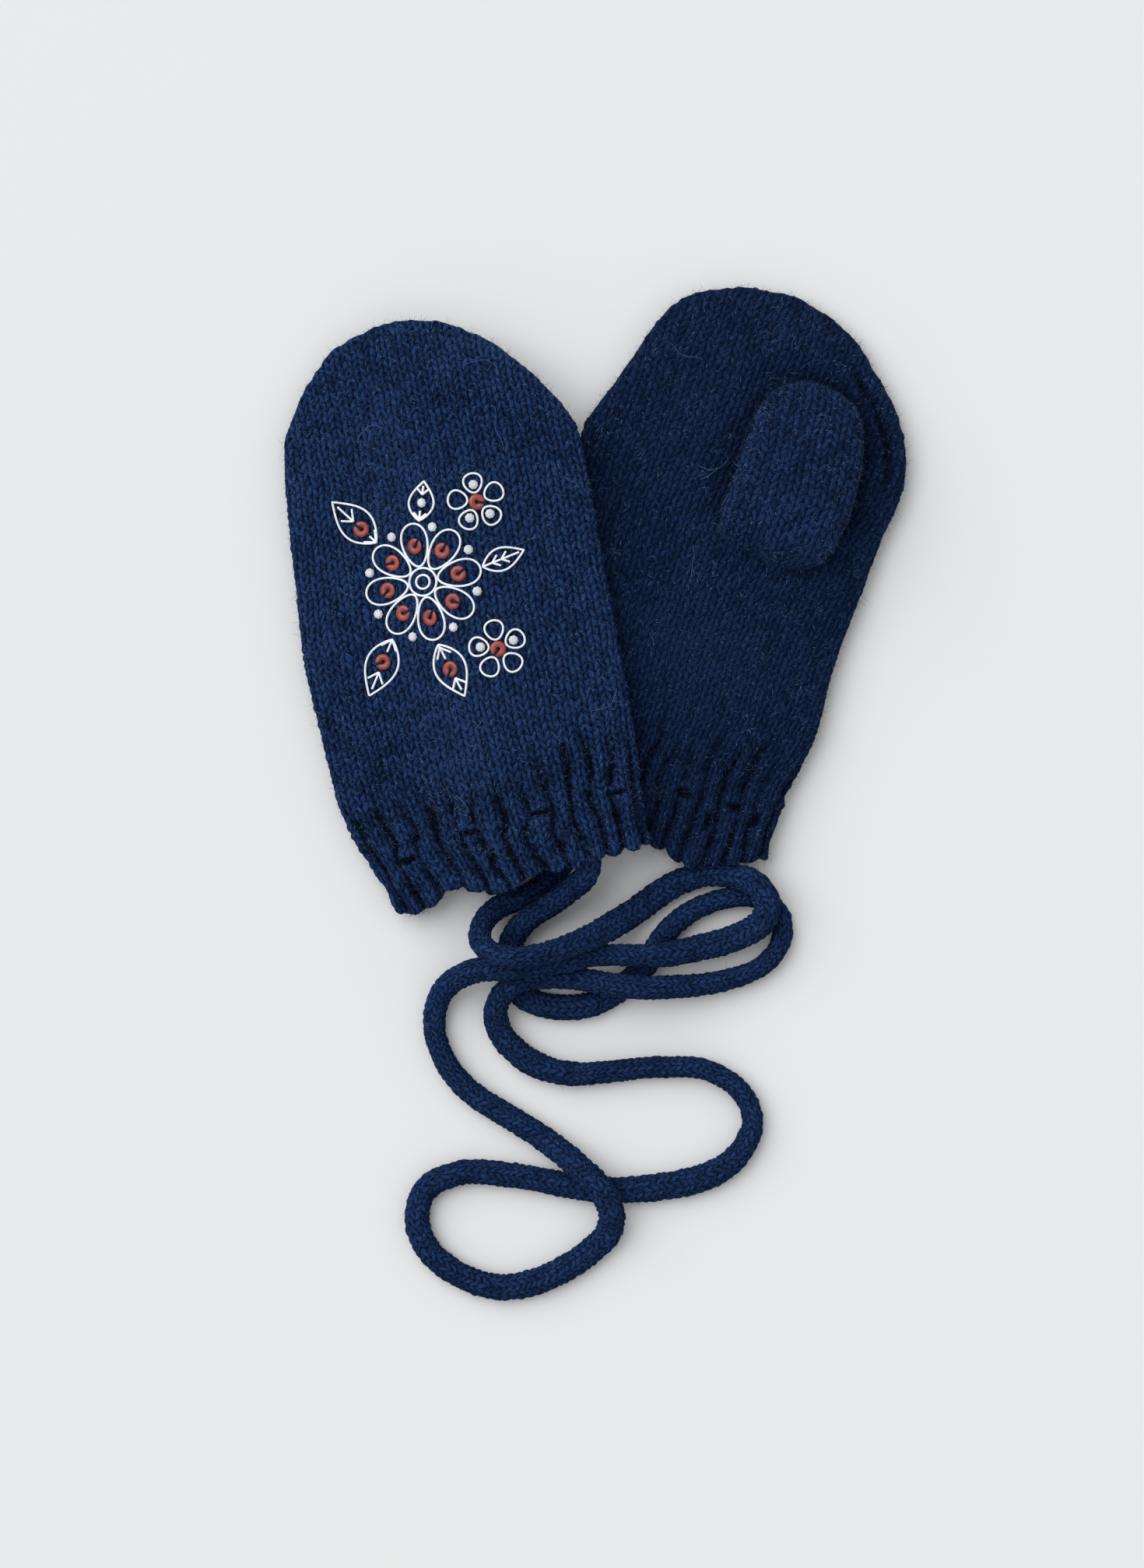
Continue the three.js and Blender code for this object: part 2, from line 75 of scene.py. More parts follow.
# Every length below is in millimetres in a mitten's own frame, as in the part's source: x across
# the hand, y from the hem to the fingertips, z up. The meshes are made in metres.
MM = 0.001
GAP = 0.3
HAND_WALL = 2.0
CUFF_WALL = 2.4
CUFF_LENGTH = 26.0
CUFF_THICK = 11.6
HAND_THICK = 11.0
THUMB_THICK = 11.6
THUMB_BEND = 0.4
THUMB_SLANT = -0.161
LIFT = GAP + THUMB_BEND + THUMB_THICK

# The flattened oval that every section follows, and how far it is pressed flat beneath
ROUNDNESS = 2.8
FLATTENING = 1.22


def table(columns, *rows):
    """Named columns from rows of numbers."""
    values = np.array(rows, float)
    return {name: values[:, i] for i, name in enumerate(columns)}


OUTLINE = ("y", "left", "right", "thick")
LEFT_OUTLINE = table(
    OUTLINE,
    (0, -44, 40, CUFF_THICK),
    (9, -48, 40.6, CUFF_THICK),
    (22, -52.8, 41.3, CUFF_THICK),
    (38, -55.6, 42.3, HAND_THICK),
    (56, -56.2, 43, HAND_THICK),
    (78, -56.8, 43.5, HAND_THICK),
    (103, -54.8, 44.1, HAND_THICK),
    (125, -52.6, 44.8, HAND_THICK),
    (137, -51.2, 44.6, HAND_THICK),
    (144, -50, 42.1, 11),
    (152, -48.3, 37.3, 10.8),
    (160, -43.8, 31.5, 10.6),
    (168, -38.4, 25, 10.3),
    (174, -32.5, 18.2, 9.9),
    (178, -28, 12.5, 9.5),
    (181, -20, 6, 9.2),
    (182.6, -13, 0, 9),
)
RIGHT_OUTLINE = table(
    OUTLINE,
    (0, -40, 38.5, CUFF_THICK),
    (11, -41, 39.6, CUFF_THICK),
    (22, -41.7, 41, CUFF_THICK),
    (33, -42.5, 44.2, HAND_THICK),
    (46, -43.5, 46.6, HAND_THICK),
    (63, -44.5, 47.2, HAND_THICK),
    (78, -45.5, 49.1, HAND_THICK),
    (92, -46.5, 51.5, HAND_THICK),
    (110, -47.5, 54.2, HAND_THICK),
    (120, -47.7, 56.7, HAND_THICK),
    (128, -46.6, 57.6, HAND_THICK),
    (138, -42, 56.4, HAND_THICK),
    (150, -36.6, 51.1, 10.8),
    (161, -32.2, 42.3, 10.5),
    (170, -27, 34.2, 10),
    (177, -18.3, 23.2, 9.5),
    (180.6, -6, 13, 9),
)
RIGHT_THUMB_OUTLINE = table(
    OUTLINE,
    (93.5, 2, 33, THUMB_THICK),
    (98, 2.1, 36.6, THUMB_THICK),
    (107.5, 2.2, 40.2, THUMB_THICK),
    (119, 3.4, 42.5, THUMB_THICK),
    (129, 4.6, 42.5, THUMB_THICK),
    (138, 5.9, 41.6, THUMB_THICK),
    (144, 7.7, 39.8, 11.3),
    (148.5, 10.2, 36.6, 10.9),
    (151.5, 13.8, 32.5, 10.4),
    (153, 17, 28, 10),
)
LEFT_THUMB_OUTLINE = table(
    OUTLINE,
    (90.5, 1.5, 26.5, THUMB_THICK),
    (95, 1.4, 29, THUMB_THICK),
    (104.5, 1.2, 31, THUMB_THICK),
    (114, 2, 34.6, THUMB_THICK),
    (124, 3.6, 37.6, THUMB_THICK),
    (134, 5.4, 39.4, THUMB_THICK),
    (142, 7.8, 39, 11.3),
    (148, 10.6, 36, 10.9),
    (151.5, 13.8, 32.5, 10.4),
    (153, 17, 28.6, 10),
)

HEM = ("x", "rise")
LEFT_HEM = table(
    HEM,
    (-47, 1.7), (-40, -3.3), (-33, -2.1), (-25, 2.6), (-16, -0.2),
    (-10, -1.9), (5, 1.9), (12, 1.3), (27, 2.5), (40, 3.6),
)
RIGHT_HEM = table(
    HEM,
    (-40, 0.5), (-0.5, 0.1), (6.4, -1.2), (13, -4.2), (20, -2.4), (29, -0.9), (40, 3.5),
)

# The left mitten rises over its own thumb and over the right mitten, and droops beyond the thumb
LIFT_SLOPE = table(("x", "lift"), (-34, 0), (-27, 0.1), (-19, 0.38), (-11, 0.72), (-5, 0.92), (0, 1))
DROOP = {"start": 156.0, "end": 183.0, "share": 0.6}

CREASE = ("x", "y", "across", "along", "depth")
LEFT_CREASES = table(CREASE, (15, 50, 7, 16, 0.9))
RIGHT_CREASES = table(CREASE, (49, 134, 7, 27, 1.0))

# The folded edge along the right hand's thumb side: its groove's place inside the edge
EDGE_GROOVE = {
    "inside": 5.8, "half_width": 1.25, "depth": 3.0,
    "low": (124.0, 133.0), "high": (154.0, 166.0), "across": (10.0, 30.0),
}
EDGE_ROLL = {"inside": 2.6, "half_width": 2.0, "rise": 0.9}

# The hollow that the right thumb's weight leaves in the palm around it
THUMB_HOLLOW = {
    "reach": 2.8, "left_reach": 6.0, "depth": 2.7, "left_share": 0.5,
    "low": 104.0, "high": 122.0, "left": 12.0, "right": 34.0,
}

# Small dark slits in the left cuff, where its drawing-in thread passes through, and rounder
# hollows in the right one
SLIT = ("x", "y", "across", "along")
LEFT_SLITS = table(
    SLIT, (-37.6, 14.3, 3, 0.95), (-16, 17.7, 3, 0.95), (7.8, 18.8, 3, 0.95), (33, 19.9, 3, 0.95))
RIGHT_SLITS = table(
    SLIT, (25.4, 16.6, 2.6, 1.3), (33.2, 12.6, 1.5, 2.6), (17.5, 11.5, 1.4, 2.4), (8.5, 18, 2.4, 1.2))
SLIT_DEPTH = 3.6
SLIT_PUCKER = 1.0
SLIT_RIM = 2.3
SLIT_SMOOTHED = 0.7
SLIT_SMOOTH_REACH = (1.5, 3.0)

# The cord's route from inside the left cuff to inside the right one, and its lowest middle
CORD_FLOOR = 3.1
CORD_ROUTE = (
    (-5.5, -71.5, 18.1), (-2, -82, 18.1), (-3, -88.3, 16.7),
    (-8, -93.2, 11.6), (-15, -98.3, 9.4), (-23, -104, 6.2), (-27.3, -111, 3.1),
    (-27.5, -119.5, 3.1), (-22.5, -128, 3.1), (-10, -131.3, 3.1),
    (2.5, -128.7, 3.1), (17.5, -116.2, 3.1), (22, -108.2, 3.1),
    (32.5, -99.5, 3.1), (49.5, -95.5, 3.1), (59.2, -100.7, 3.1),
    (60, -109.5, 3.1), (54.5, -117.3, 3.1), (41, -122.7, 4),
    (16.2, -124.6, 9.4), (5.5, -123.6, 9.7), (-4, -122, 8.9), (-16.2, -121.5, 9),
    (-26.2, -123.2, 9.7), (-31.5, -129.8, 7.6), (-31, -138.5, 3.4),
    (-22.2, -148, 3.1), (-9.5, -152.5, 3.1), (21.2, -150.5, 3.1),
    (37, -151.8, 3.1), (47.8, -159.5, 3.1), (50.7, -169, 3.1),
    (45.7, -179.2, 3.1), (35, -186, 3.1), (5.2, -190.2, 3.1),
    (-27.5, -185.3, 3.1), (-42.7, -184.5, 3.1), (-54.2, -189.5, 3.1),
    (-57.5, -199, 3.1), (-54, -209.2, 3.1), (-43.7, -217.5, 3.1),
    (-30.5, -221.5, 3.1), (-16.2, -218.6, 3.1), (-3, -211, 3.1),
    (4, -204, 4.4), (5.2, -196.5, 8.6), (1.5, -189, 9.8), (-7, -180.8, 6.8),
    (-18.2, -172.5, 3.3), (-41.7, -157.2, 3.1), (-49.2, -147, 3.1),
    (-52, -136.2, 3.1), (-49.2, -126.2, 4.9), (-41.2, -120, 10.2),
    (-31, -118, 15), (-20.7, -117.2, 14.7), (-9.2, -115.7, 13.2), (0, -114.2, 10.4),
    (21.5, -114, 9.8), (36, -111.3, 6.2), (46.2, -108.2, 6.4), (53.6, -103.4, 9),
    (55, -97.4, 9.8), (51.8, -91.6, 9.2), (44.2, -88.7, 6.4), (35.2, -88.3, 3.7),
    (25.2, -91.8, 3.1), (13.5, -99.8, 4), (2.2, -106.3, 12.4), (-9.2, -111, 18.4),
    (-19.7, -113.7, 20.6), (-29.5, -114, 20.6), (-36.2, -110.4, 15.6),
    (-36.4, -104.5, 9.4), (-31, -98.8, 4.4), (-20.7, -94.5, 3.1),
    (-13, -88.3, 3.1), (-7.8, -81, 4), (-5.2, -74, 5.8), (-3.2, -65, 5.8),
)

# The trimming on the back of the left hand, around a point in that mitten's frame. A leaf has
# its base, its tip, half its width and the bare stretch of its midrib.
TRIM_CENTRE = (-9.5, 95.0)
TRIM_REACH = 44.0
BLOSSOM = {"petals": 8, "middle": 11.9, "half_length": 6.9, "half_width": 4.1, "rings": (4.4, 2.2)}
SMALL_BLOSSOM = {"petals": 5, "middle": 6.1, "half_length": 3.1, "half_width": 2.9, "rings": ()}
BLOSSOMS = (
    {"x": -4.0, "y": 4.0, **BLOSSOM},
    {"x": 18.0, "y": 25.0, **SMALL_BLOSSOM},
    {"x": 15.0, "y": -22.0, **SMALL_BLOSSOM},
)
LEAVES = (
    ((-16.2, 19.8), (-27.5, 35.5), 5.2, (0.15, 0.52)),
    ((-17.6, -11.6), (-28.7, -27.7), 5.2, (0.22, 0.58)),
    ((-3.3, -16.6), (1.6, -34.4), 5.0, (0.28, 0.65)),
    ((-1.2, 23.2), (3.0, 35.0), 4.0, (0.25, 0.66)),
    ((15.6, 4.5), (29.5, 7.0), 3.6, (0.45, 0.45)),
)


# Curves, waves and knit relief, as plain arithmetic on arrays

def smooth(xs, ys, at):
    """A smooth line through a table's points, without overshoot."""
    steps = np.diff(xs)
    slopes = np.diff(ys) / steps
    product = slopes[:-1] * slopes[1:]
    total = np.where(product > 0, slopes[:-1] + slopes[1:], 1.0)
    inner = np.where(product > 0, 2 * product / total, 0.0)
    tangents = np.concatenate([slopes[:1], inner, slopes[-1:]])
    at = np.clip(at, xs[0], xs[-1])
    i = np.clip(np.searchsorted(xs, at, side="right") - 1, 0, len(xs) - 2)
    t = (at - xs[i]) / steps[i]
    rise = ys[i] * (1 + 2 * t) * (1 - t) ** 2 + ys[i + 1] * t * t * (3 - 2 * t)
    lean = tangents[i] * t * (1 - t) ** 2 - tangents[i + 1] * t * t * (1 - t)
    return rise + lean * steps[i]


def ease(low, high, value):
    """From 0 at low to 1 at high, with soft ends."""
    t = np.clip((value - low) / (high - low), 0, 1)
    return t * t * (3 - 2 * t)


# The side of the square of random values that the waves run through
LATTICE = 64


def waves(x, y, size, seed):
    """Smooth random waves between -1 and 1, about this far apart."""
    lattice = np.random.default_rng(seed).uniform(-1, 1, (LATTICE, LATTICE))
    across, along = x / size, y / size
    i, j = np.floor(across).astype(int), np.floor(along).astype(int)
    s, t = ease(0, 1, across - i), ease(0, 1, along - j)

    def corner(di, dj):
        return lattice[(i + di) % LATTICE, (j + dj) % LATTICE]

    low = corner(0, 0) * (1 - s) + corner(1, 0) * s
    high = corner(0, 1) * (1 - s) + corner(1, 1) * s
    return low * (1 - t) + high * t


def mixed(layers, x, y, seed=0):
    """Waves of several sizes together. Each layer is its share, its size and its own seed."""
    return sum(share * waves(x, y, size, seed + own) for share, size, own in layers)


def distances(line):
    """How far along a line each of its points lies."""
    return np.concatenate([[0], np.cumsum(np.linalg.norm(np.diff(line, axis=0), axis=1))])


def spread_evenly(line, spacing):
    """The same line with its points a given distance apart, and how far along each one lies."""
    along = distances(line)
    at = np.linspace(0, along[-1], round(along[-1] / spacing) + 1)
    columns = [np.interp(at, along, line[:, axis]) for axis in range(line.shape[1])]
    return np.stack(columns, 1), at


def stack(x, y, z):
    return np.stack([x, y, z], -1)


def turned(vectors):
    """The same directions, each of length 1."""
    return vectors / np.linalg.norm(vectors, axis=-1, keepdims=True)


def spin(angle):
    """The turn of points about the upright axis."""
    cos, sin = math.cos(angle), math.sin(angle)
    return np.array([[cos, sin, 0], [-sin, cos, 0], [0, 0, 1]])


def oval(angle, power):
    """Across and up on a round form around the origin, which powers below 1 make squarer."""
    cos, sin = np.cos(angle), np.sin(angle)
    return np.sign(cos) * np.abs(cos) ** power, np.sign(sin) * np.abs(sin) ** power


def bell(value):
    return np.exp(-value ** 2)


# A stitch: how steeply its two legs climb, how high the middle between them stands above the
# gap beside the next wale, how round a leg is, and each kind's roundness across and along it
LEG_CLIMB = 0.8
LEG_MIDDLE = 0.15
LEG_ROUND = 0.6
PLAIN = {"across": 2.2, "along": 2.6, "low": 0.3}
BRAIDED = {"across": 4.0, "along": 1.7, "low": 0.1}

# The height in a stitch that lies on the smooth form
MEAN_STITCH = 0.8

# How far one stitch's height may be off the usual, and after how many half wales and courses
# these differences repeat
OWN_HEIGHT = 0.3
OWN_REPEAT = (97, 89)

# Half a rib's width, where a whole wale lies between a crest and a valley's middle
RIB_HALF = 0.84


def stitches(wale, course, kind):
    """Height of plain knit between 0 and 1. Each wale is a column of letters V."""
    lean = np.abs((wale % 1) - 0.5) * 2
    leg = np.clip(1 - np.abs(2 * lean - 1) ** kind["across"], 0, 1) ** LEG_ROUND
    leg = np.maximum(leg, LEG_MIDDLE * (lean < 0.5))
    along = 1 - np.abs(2 * ((course - LEG_CLIMB * lean) % 1) - 1) ** kind["along"]
    return leg * (kind["low"] + (1 - kind["low"]) * along)


def uneven(wale, course, seed):
    """Each stitch's own share of height, a little above or below 1."""
    own = np.random.default_rng(seed).uniform(-1, 1, OWN_REPEAT)
    half = np.floor(wale * 2).astype(int) % OWN_REPEAT[0]
    row = np.floor(course - LEG_CLIMB * np.abs((wale % 1) - 0.5) * 2).astype(int)
    return 1 + OWN_HEIGHT * own[half, row % OWN_REPEAT[1]]


def ribs(wale):
    """One wale stands and one sinks: 1 on a round rib and 0 in the narrow valley beside it."""
    from_crest = np.abs((wale / 2 + 0.25) % 1 - 0.5) * 2
    return np.sqrt(np.clip(1 - (from_crest / RIB_HALF) ** 2, 0, 1))


def crease_depth(creases, x, y):
    depth = np.zeros(np.broadcast(x, y).shape)
    for cx, cy, across, along, deep in zip(*(creases[name] for name in CREASE)):
        away = np.hypot((x - cx) / across, (y - cy) / along)
        depth = np.maximum(depth, deep * (1 - np.minimum(1, away) ** 2) ** 2)
    return depth


def left_lift(x, y):
    """How far the left mitten's underside stands above the surface."""
    droop = 1 - DROOP["share"] * ease(DROOP["start"], DROOP["end"], y)
    return LIFT * smooth(LIFT_SLOPE["x"], LIFT_SLOPE["lift"], x) * droop


def no_lift(x, y):
    return np.zeros(np.broadcast(x, y).shape)


# An outline's points: how far apart they stand, how far below the hem they start, how finely
# the sides and the tip are drawn first, and how many places are measured to it at a time
RIM_SPACING = 1.5
RIM_START = 10
RIM_SIDE_POINTS = 420
RIM_TIP_POINTS = 40
RIM_BATCH = 4000


class Pouch:
    """The smooth form of a flat knitted pouch in its own frame, before any stitches."""

    def __init__(self, outline, bulge, fan, edge, press, lift, creases=None, twist=0):
        self.outline = outline
        self.twist = twist
        self.fan = fan
        self.edge = edge
        self.press = press
        self.lift = lift
        self.creases = creases
        self.rim = self.trace_rim(bulge)

    def side(self, name, y):
        return smooth(self.outline["y"], self.outline[name], y)

    def trace_rim(self, bulge):
        """The outline as points, up the left side, over the tip and down the right side."""
        low, high = self.outline["y"][0] - RIM_START, self.outline["y"][-1]
        ys = np.linspace(low, high, RIM_SIDE_POINTS)
        left = np.stack([self.side("left", ys), ys], 1)
        right = np.stack([self.side("right", ys), ys], 1)[::-1]
        turn = np.linspace(0, math.pi, RIM_TIP_POINTS)[1:-1]
        middle = (left[-1] + right[0]) / 2
        half = (right[0][0] - left[-1][0]) / 2
        tip = np.stack([middle[0] - half * np.cos(turn), middle[1] + bulge * np.sin(turn)], 1)
        return spread_evenly(np.vstack([left, tip, right]), RIM_SPACING)[0]

    def reach(self, x):
        """Where a wale that runs straight up meets the outline."""
        high = self.rim[self.rim[:, 1] >= self.fan]
        return np.interp(x, high[:, 0], high[:, 1])

    def inside(self, x, y):
        """Distance to the outline."""
        places = np.stack([x.ravel(), y.ravel()], 1)
        run = np.diff(self.rim, axis=0)
        nearest = np.empty(len(places))
        for first in range(0, len(places), RIM_BATCH):
            part = slice(first, first + RIM_BATCH)
            away = places[part, None, :] - self.rim[:-1]
            share = np.clip((away * run).sum(2) / (run ** 2).sum(1), 0, 1)
            nearest[part] = ((away - share[..., None] * run) ** 2).sum(2).min(1)
        return np.sqrt(nearest).reshape(x.shape)

    def bulge(self, x, y):
        depth = np.clip(self.inside(x, y) / self.edge, 0, 1)
        return (1 - (1 - depth) ** ROUNDNESS) ** (1 / ROUNDNESS)

    def top(self, x, y):
        height = self.side("thick", y) / 2 * (1 + self.bulge(x, y)) + self.lift(x, y)
        if self.creases:
            height = height - crease_depth(self.creases, x, y)
        return height

    def bottom(self, x, y):
        sunk = np.minimum(1, self.press * self.bulge(x, y))
        return self.side("thick", y) / 2 * (1 - sunk) + self.lift(x, y)


# How finely an oval is measured before places on it are spaced
OVAL_POINTS = 4001


def even_shares(count, half_width, half_thick):
    """Places across a flattened oval's upper side, from 0 to 1, evenly spaced along it."""
    u, v = oval(np.linspace(math.pi, 0, OVAL_POINTS), 2 / ROUNDNESS)
    steps = np.hypot(np.diff(u) * half_width, np.diff(v) * half_thick)
    along = np.concatenate([[0], np.cumsum(steps)])
    return np.interp(np.linspace(0, along[-1], count + 1), along, (u + 1) / 2)


class Place:
    """Where a mitten lies: the middle of its hem and its turn, in millimetres and degrees."""

    def __init__(self, x, y, turn):
        self.shift = np.array([x, y, 0.0])
        self.turn = spin(math.radians(turn))

    def world(self, points):
        return points @ self.turn + self.shift


LEFT_PLACE = Place(-21.25, -89, 11.9)
RIGHT_PLACE = Place(16.75, -77.5, -11.7)
HERE = Place(0, 0, 0)

HAND_EDGE = 47.0
RIGHT_TWIST = 0.035
THUMB_EDGE = 18.5
LEFT_POUCH = Pouch(LEFT_OUTLINE, 0.6, 137, HAND_EDGE, FLATTENING, left_lift, LEFT_CREASES)
RIGHT_POUCH = Pouch(
    RIGHT_OUTLINE, 0.6, 128, HAND_EDGE, FLATTENING, no_lift, RIGHT_CREASES, RIGHT_TWIST)
LEFT_THUMB = Pouch(LEFT_THUMB_OUTLINE, 0.7, 134, THUMB_EDGE, 1, no_lift)
RIGHT_THUMB = Pouch(RIGHT_THUMB_OUTLINE, 0.7, 129, THUMB_EDGE, 1, no_lift)

# What a mitten and a thumb are made from. A thumb leaves the palm at a height, up or down.
Mitten = namedtuple("Mitten", "name pouch place hem slits tone seed")
MITTENS = (
    Mitten("left", LEFT_POUCH, LEFT_PLACE, LEFT_HEM, LEFT_SLITS, "navy_knit", 100),
    # The right mitten wears a darker copy of the wool: painted shade
    Mitten("right", RIGHT_POUCH, RIGHT_PLACE, RIGHT_HEM, RIGHT_SLITS, "navy_knit_palm", 200),
)
Thumb = namedtuple("Thumb", "name pouch place palm direction seed")
THUMBS = (
    Thumb("left_thumb", LEFT_THUMB, LEFT_PLACE, LIFT, -1, 300),
    Thumb("right_thumb", RIGHT_THUMB, RIGHT_PLACE, HAND_THICK, 1, 400),
)
# Both thumbs wear a copy of the wool darker than the left hand's back: painted shade
THUMB_TONE = "navy_knit_thumb"


class Skin:
    """Gathers grids of points into one mesh, with knit coordinates at its faces' corners."""

    def __init__(self):
        self.points = np.zeros((0, 3))
        self.relief = None
        self.faces = np.zeros((0, 3), int)
        self.knit = np.zeros((0, 3, 2))

    def add(self, grid):
        """Adds a grid of points and gives their numbers in the same layout."""
        start = len(self.points)
        self.points = np.vstack([self.points, grid.reshape(-1, 3)])
        return np.arange(start, len(self.points)).reshape(grid.shape[:-1])

    def add_faces(self, faces, knit):
        a, b, c = faces.T
        kept = (a != b) & (b != c) & (c != a)
        self.faces = np.vstack([self.faces, faces[kept]])
        self.knit = np.vstack([self.knit, knit[kept]])

    def cover(self, numbers, knit, flip=False):
        """Covers a grid of point numbers with triangles."""
        low, high = slice(None, -1), slice(1, None)
        corners = ((low, low), (low, high), (high, high), (high, low))
        a, b, c, d = (numbers[corner].ravel() for corner in corners)
        ka, kb, kc, kd = (knit[corner].reshape(-1, 2) for corner in corners)
        faces = np.vstack([np.stack([a, b, c], 1), np.stack([a, c, d], 1)])
        coordinates = np.vstack([np.stack([ka, kb, kc], 1), np.stack([ka, kc, kd], 1)])
        if flip:
            faces = faces[:, ::-1]
            coordinates = coordinates[:, ::-1]
        self.add_faces(faces, coordinates)

    def tube(self, grid, knit=None, ring=False, flip=False):
        """Covers a grid that closes across its columns, and in a ring along its rows too."""
        numbers = self.add(grid)
        numbers[:, -1] = numbers[:, 0]
        if ring:
            numbers[-1] = numbers[0]
        self.cover(numbers, np.zeros((*numbers.shape, 2)) if knit is None else knit, flip)
        return numbers

    def cap(self, numbers, middles, knit):
        """Closes a tube's two ends, each with a fan around its middle."""
        for row, flip in ((0, False), (-1, True)):
            middle = self.add(middles[[row]])
            fan = np.stack([np.repeat(middle, numbers.shape[1]), numbers[row]])
            self.cover(fan, np.repeat(knit[row][None], 2, 0), flip)

    def normals(self):
        a, b, c = (self.points[self.faces[:, i]] for i in range(3))
        across = np.cross(b - a, c - a)
        total = np.zeros_like(self.points)
        for corner in range(3):
            for axis in range(3):
                total[:, axis] += np.bincount(
                    self.faces[:, corner], across[:, axis], len(self.points))
        length = np.linalg.norm(total, axis=1, keepdims=True)
        return total / np.where(length > 0, length, 1)

    def build(self, name, place, materials):
        """Makes the object, without the points that no face uses."""
        used, faces = np.unique(self.faces, return_inverse=True)
        points = place.world(self.points[used])
        piece = mesh_object(name, points, faces.reshape(-1, 3), materials, self.knit)
        if self.relief is not None:
            relief = np.zeros(len(self.points))
            relief[:len(self.relief)] = self.relief
            layer = piece.data.attributes.new("relief", "FLOAT", "POINT")
            layer.data.foreach_set("value", relief[used].astype(np.float32))
        return piece


def mesh_object(name, points, faces, materials, knit=None, slots=None, flat=False):
    """An object from points in millimetres and triangles."""
    mesh = bpy.data.meshes.new(name)
    mesh.vertices.add(len(points))
    mesh.vertices.foreach_set("co", (points * MM).astype(np.float32).ravel())
    mesh.loops.add(faces.size)
    mesh.loops.foreach_set("vertex_index", faces.astype(np.int32).ravel())
    mesh.polygons.add(len(faces))
    mesh.polygons.foreach_set("loop_start", np.arange(0, faces.size, 3, dtype=np.int32))
    for material in materials:
        mesh.materials.append(material)
    if slots is not None:
        mesh.polygons.foreach_set("material_index", slots.astype(np.int32))
    if knit is not None:
        layer = mesh.uv_layers.new(name="knit")
        layer.data.foreach_set("uv", knit.astype(np.float32).ravel())
    mesh.update(calc_edges=True)
    mesh.validate()
    mesh.polygons.foreach_set("use_smooth", np.full(len(mesh.polygons), not flat))
    mesh.update()
    piece = bpy.data.objects.new(name, mesh)
    bpy.context.scene.collection.objects.link(piece)
    return piece


# Materials

def opaque(colour):
    return (*colour, 1.0)


def shade(colour, share):
    return tuple(value * share for value in colour)


class Graph:
    """A short way to write a material's nodes."""

    def __init__(self, name):
        self.material = bpy.data.materials.new(name)
        self.material.use_nodes = True
        self.tree = self.material.node_tree
        self.shader = self.tree.nodes["Principled BSDF"]

    def node(self, kind, **settings):
        node = self.tree.nodes.new(kind)
        for name, value in settings.items():
            setattr(node, name, value)
        return node

    def feed(self, socket, value):
        if isinstance(value, bpy.types.NodeSocket):
            self.tree.links.new(value, socket)
        else:
            socket.default_value = value

    def math(self, operation, *values):
        node = self.node("ShaderNodeMath", operation=operation)
        for socket, value in zip(node.inputs, values):
            self.feed(socket, value)
        return node.outputs[0]

    def scaled(self, value, by, plus=0.0):
        return self.math("MULTIPLY_ADD", value, by, plus)

    def times(self, a, b):
        return self.math("MULTIPLY", a, b)

    def parts(self, vector):
        node = self.node("ShaderNodeSeparateXYZ")
        self.feed(node.inputs[0], vector)
        return node.outputs

    def noise(self, place, scale, detail=2.0, roughness=0.5, output="Fac"):
        node = self.node("ShaderNodeTexNoise")
        self.feed(node.inputs["Vector"], place)
        self.feed(node.inputs["Scale"], scale)
        self.feed(node.inputs["Detail"], detail)
        self.feed(node.inputs["Roughness"], roughness)
        return node.outputs[output]

    def between(self, value, low, high):
        """The value's range stretched to run from 0 to 1."""
        node = self.node("ShaderNodeMapRange")
        self.feed(node.inputs["Value"], value)
        self.feed(node.inputs["From Min"], low)
        self.feed(node.inputs["From Max"], high)
        return node.outputs["Result"]

    def mix(self, share, a, b):
        """A blend of two colours, each a socket or its red, green and blue."""
        node = self.node("ShaderNodeMix", data_type="RGBA")
        self.feed(node.inputs[0], share)
        for socket, colour in ((node.inputs[6], a), (node.inputs[7], b)):
            linked = isinstance(colour, bpy.types.NodeSocket)
            self.feed(socket, colour if linked else opaque(colour))
        return node.outputs[2]

    def bump(self, height, strength, distance):
        node = self.node("ShaderNodeBump")
        self.feed(node.inputs["Height"], height)
        self.feed(node.inputs["Strength"], strength)
        self.feed(node.inputs["Distance"], distance)
        self.feed(self.shader.inputs["Normal"], node.outputs["Normal"])

    def set(self, **values):
        for name, value in values.items():
            self.feed(self.shader.inputs[name.replace("_", " ")], value)

    def place(self):
        return self.node("ShaderNodeTexCoord").outputs["Object"]


# How far loose yarn lies off its place, in wales and in courses, and the reliefs, in millimetres,
# between which the painted shade of a valley gives way to open air
LOOSE_ASIDE = 0.62
LOOSE_AHEAD = 1.15
VALLEY_SHADE = (-2.2, 0.9)


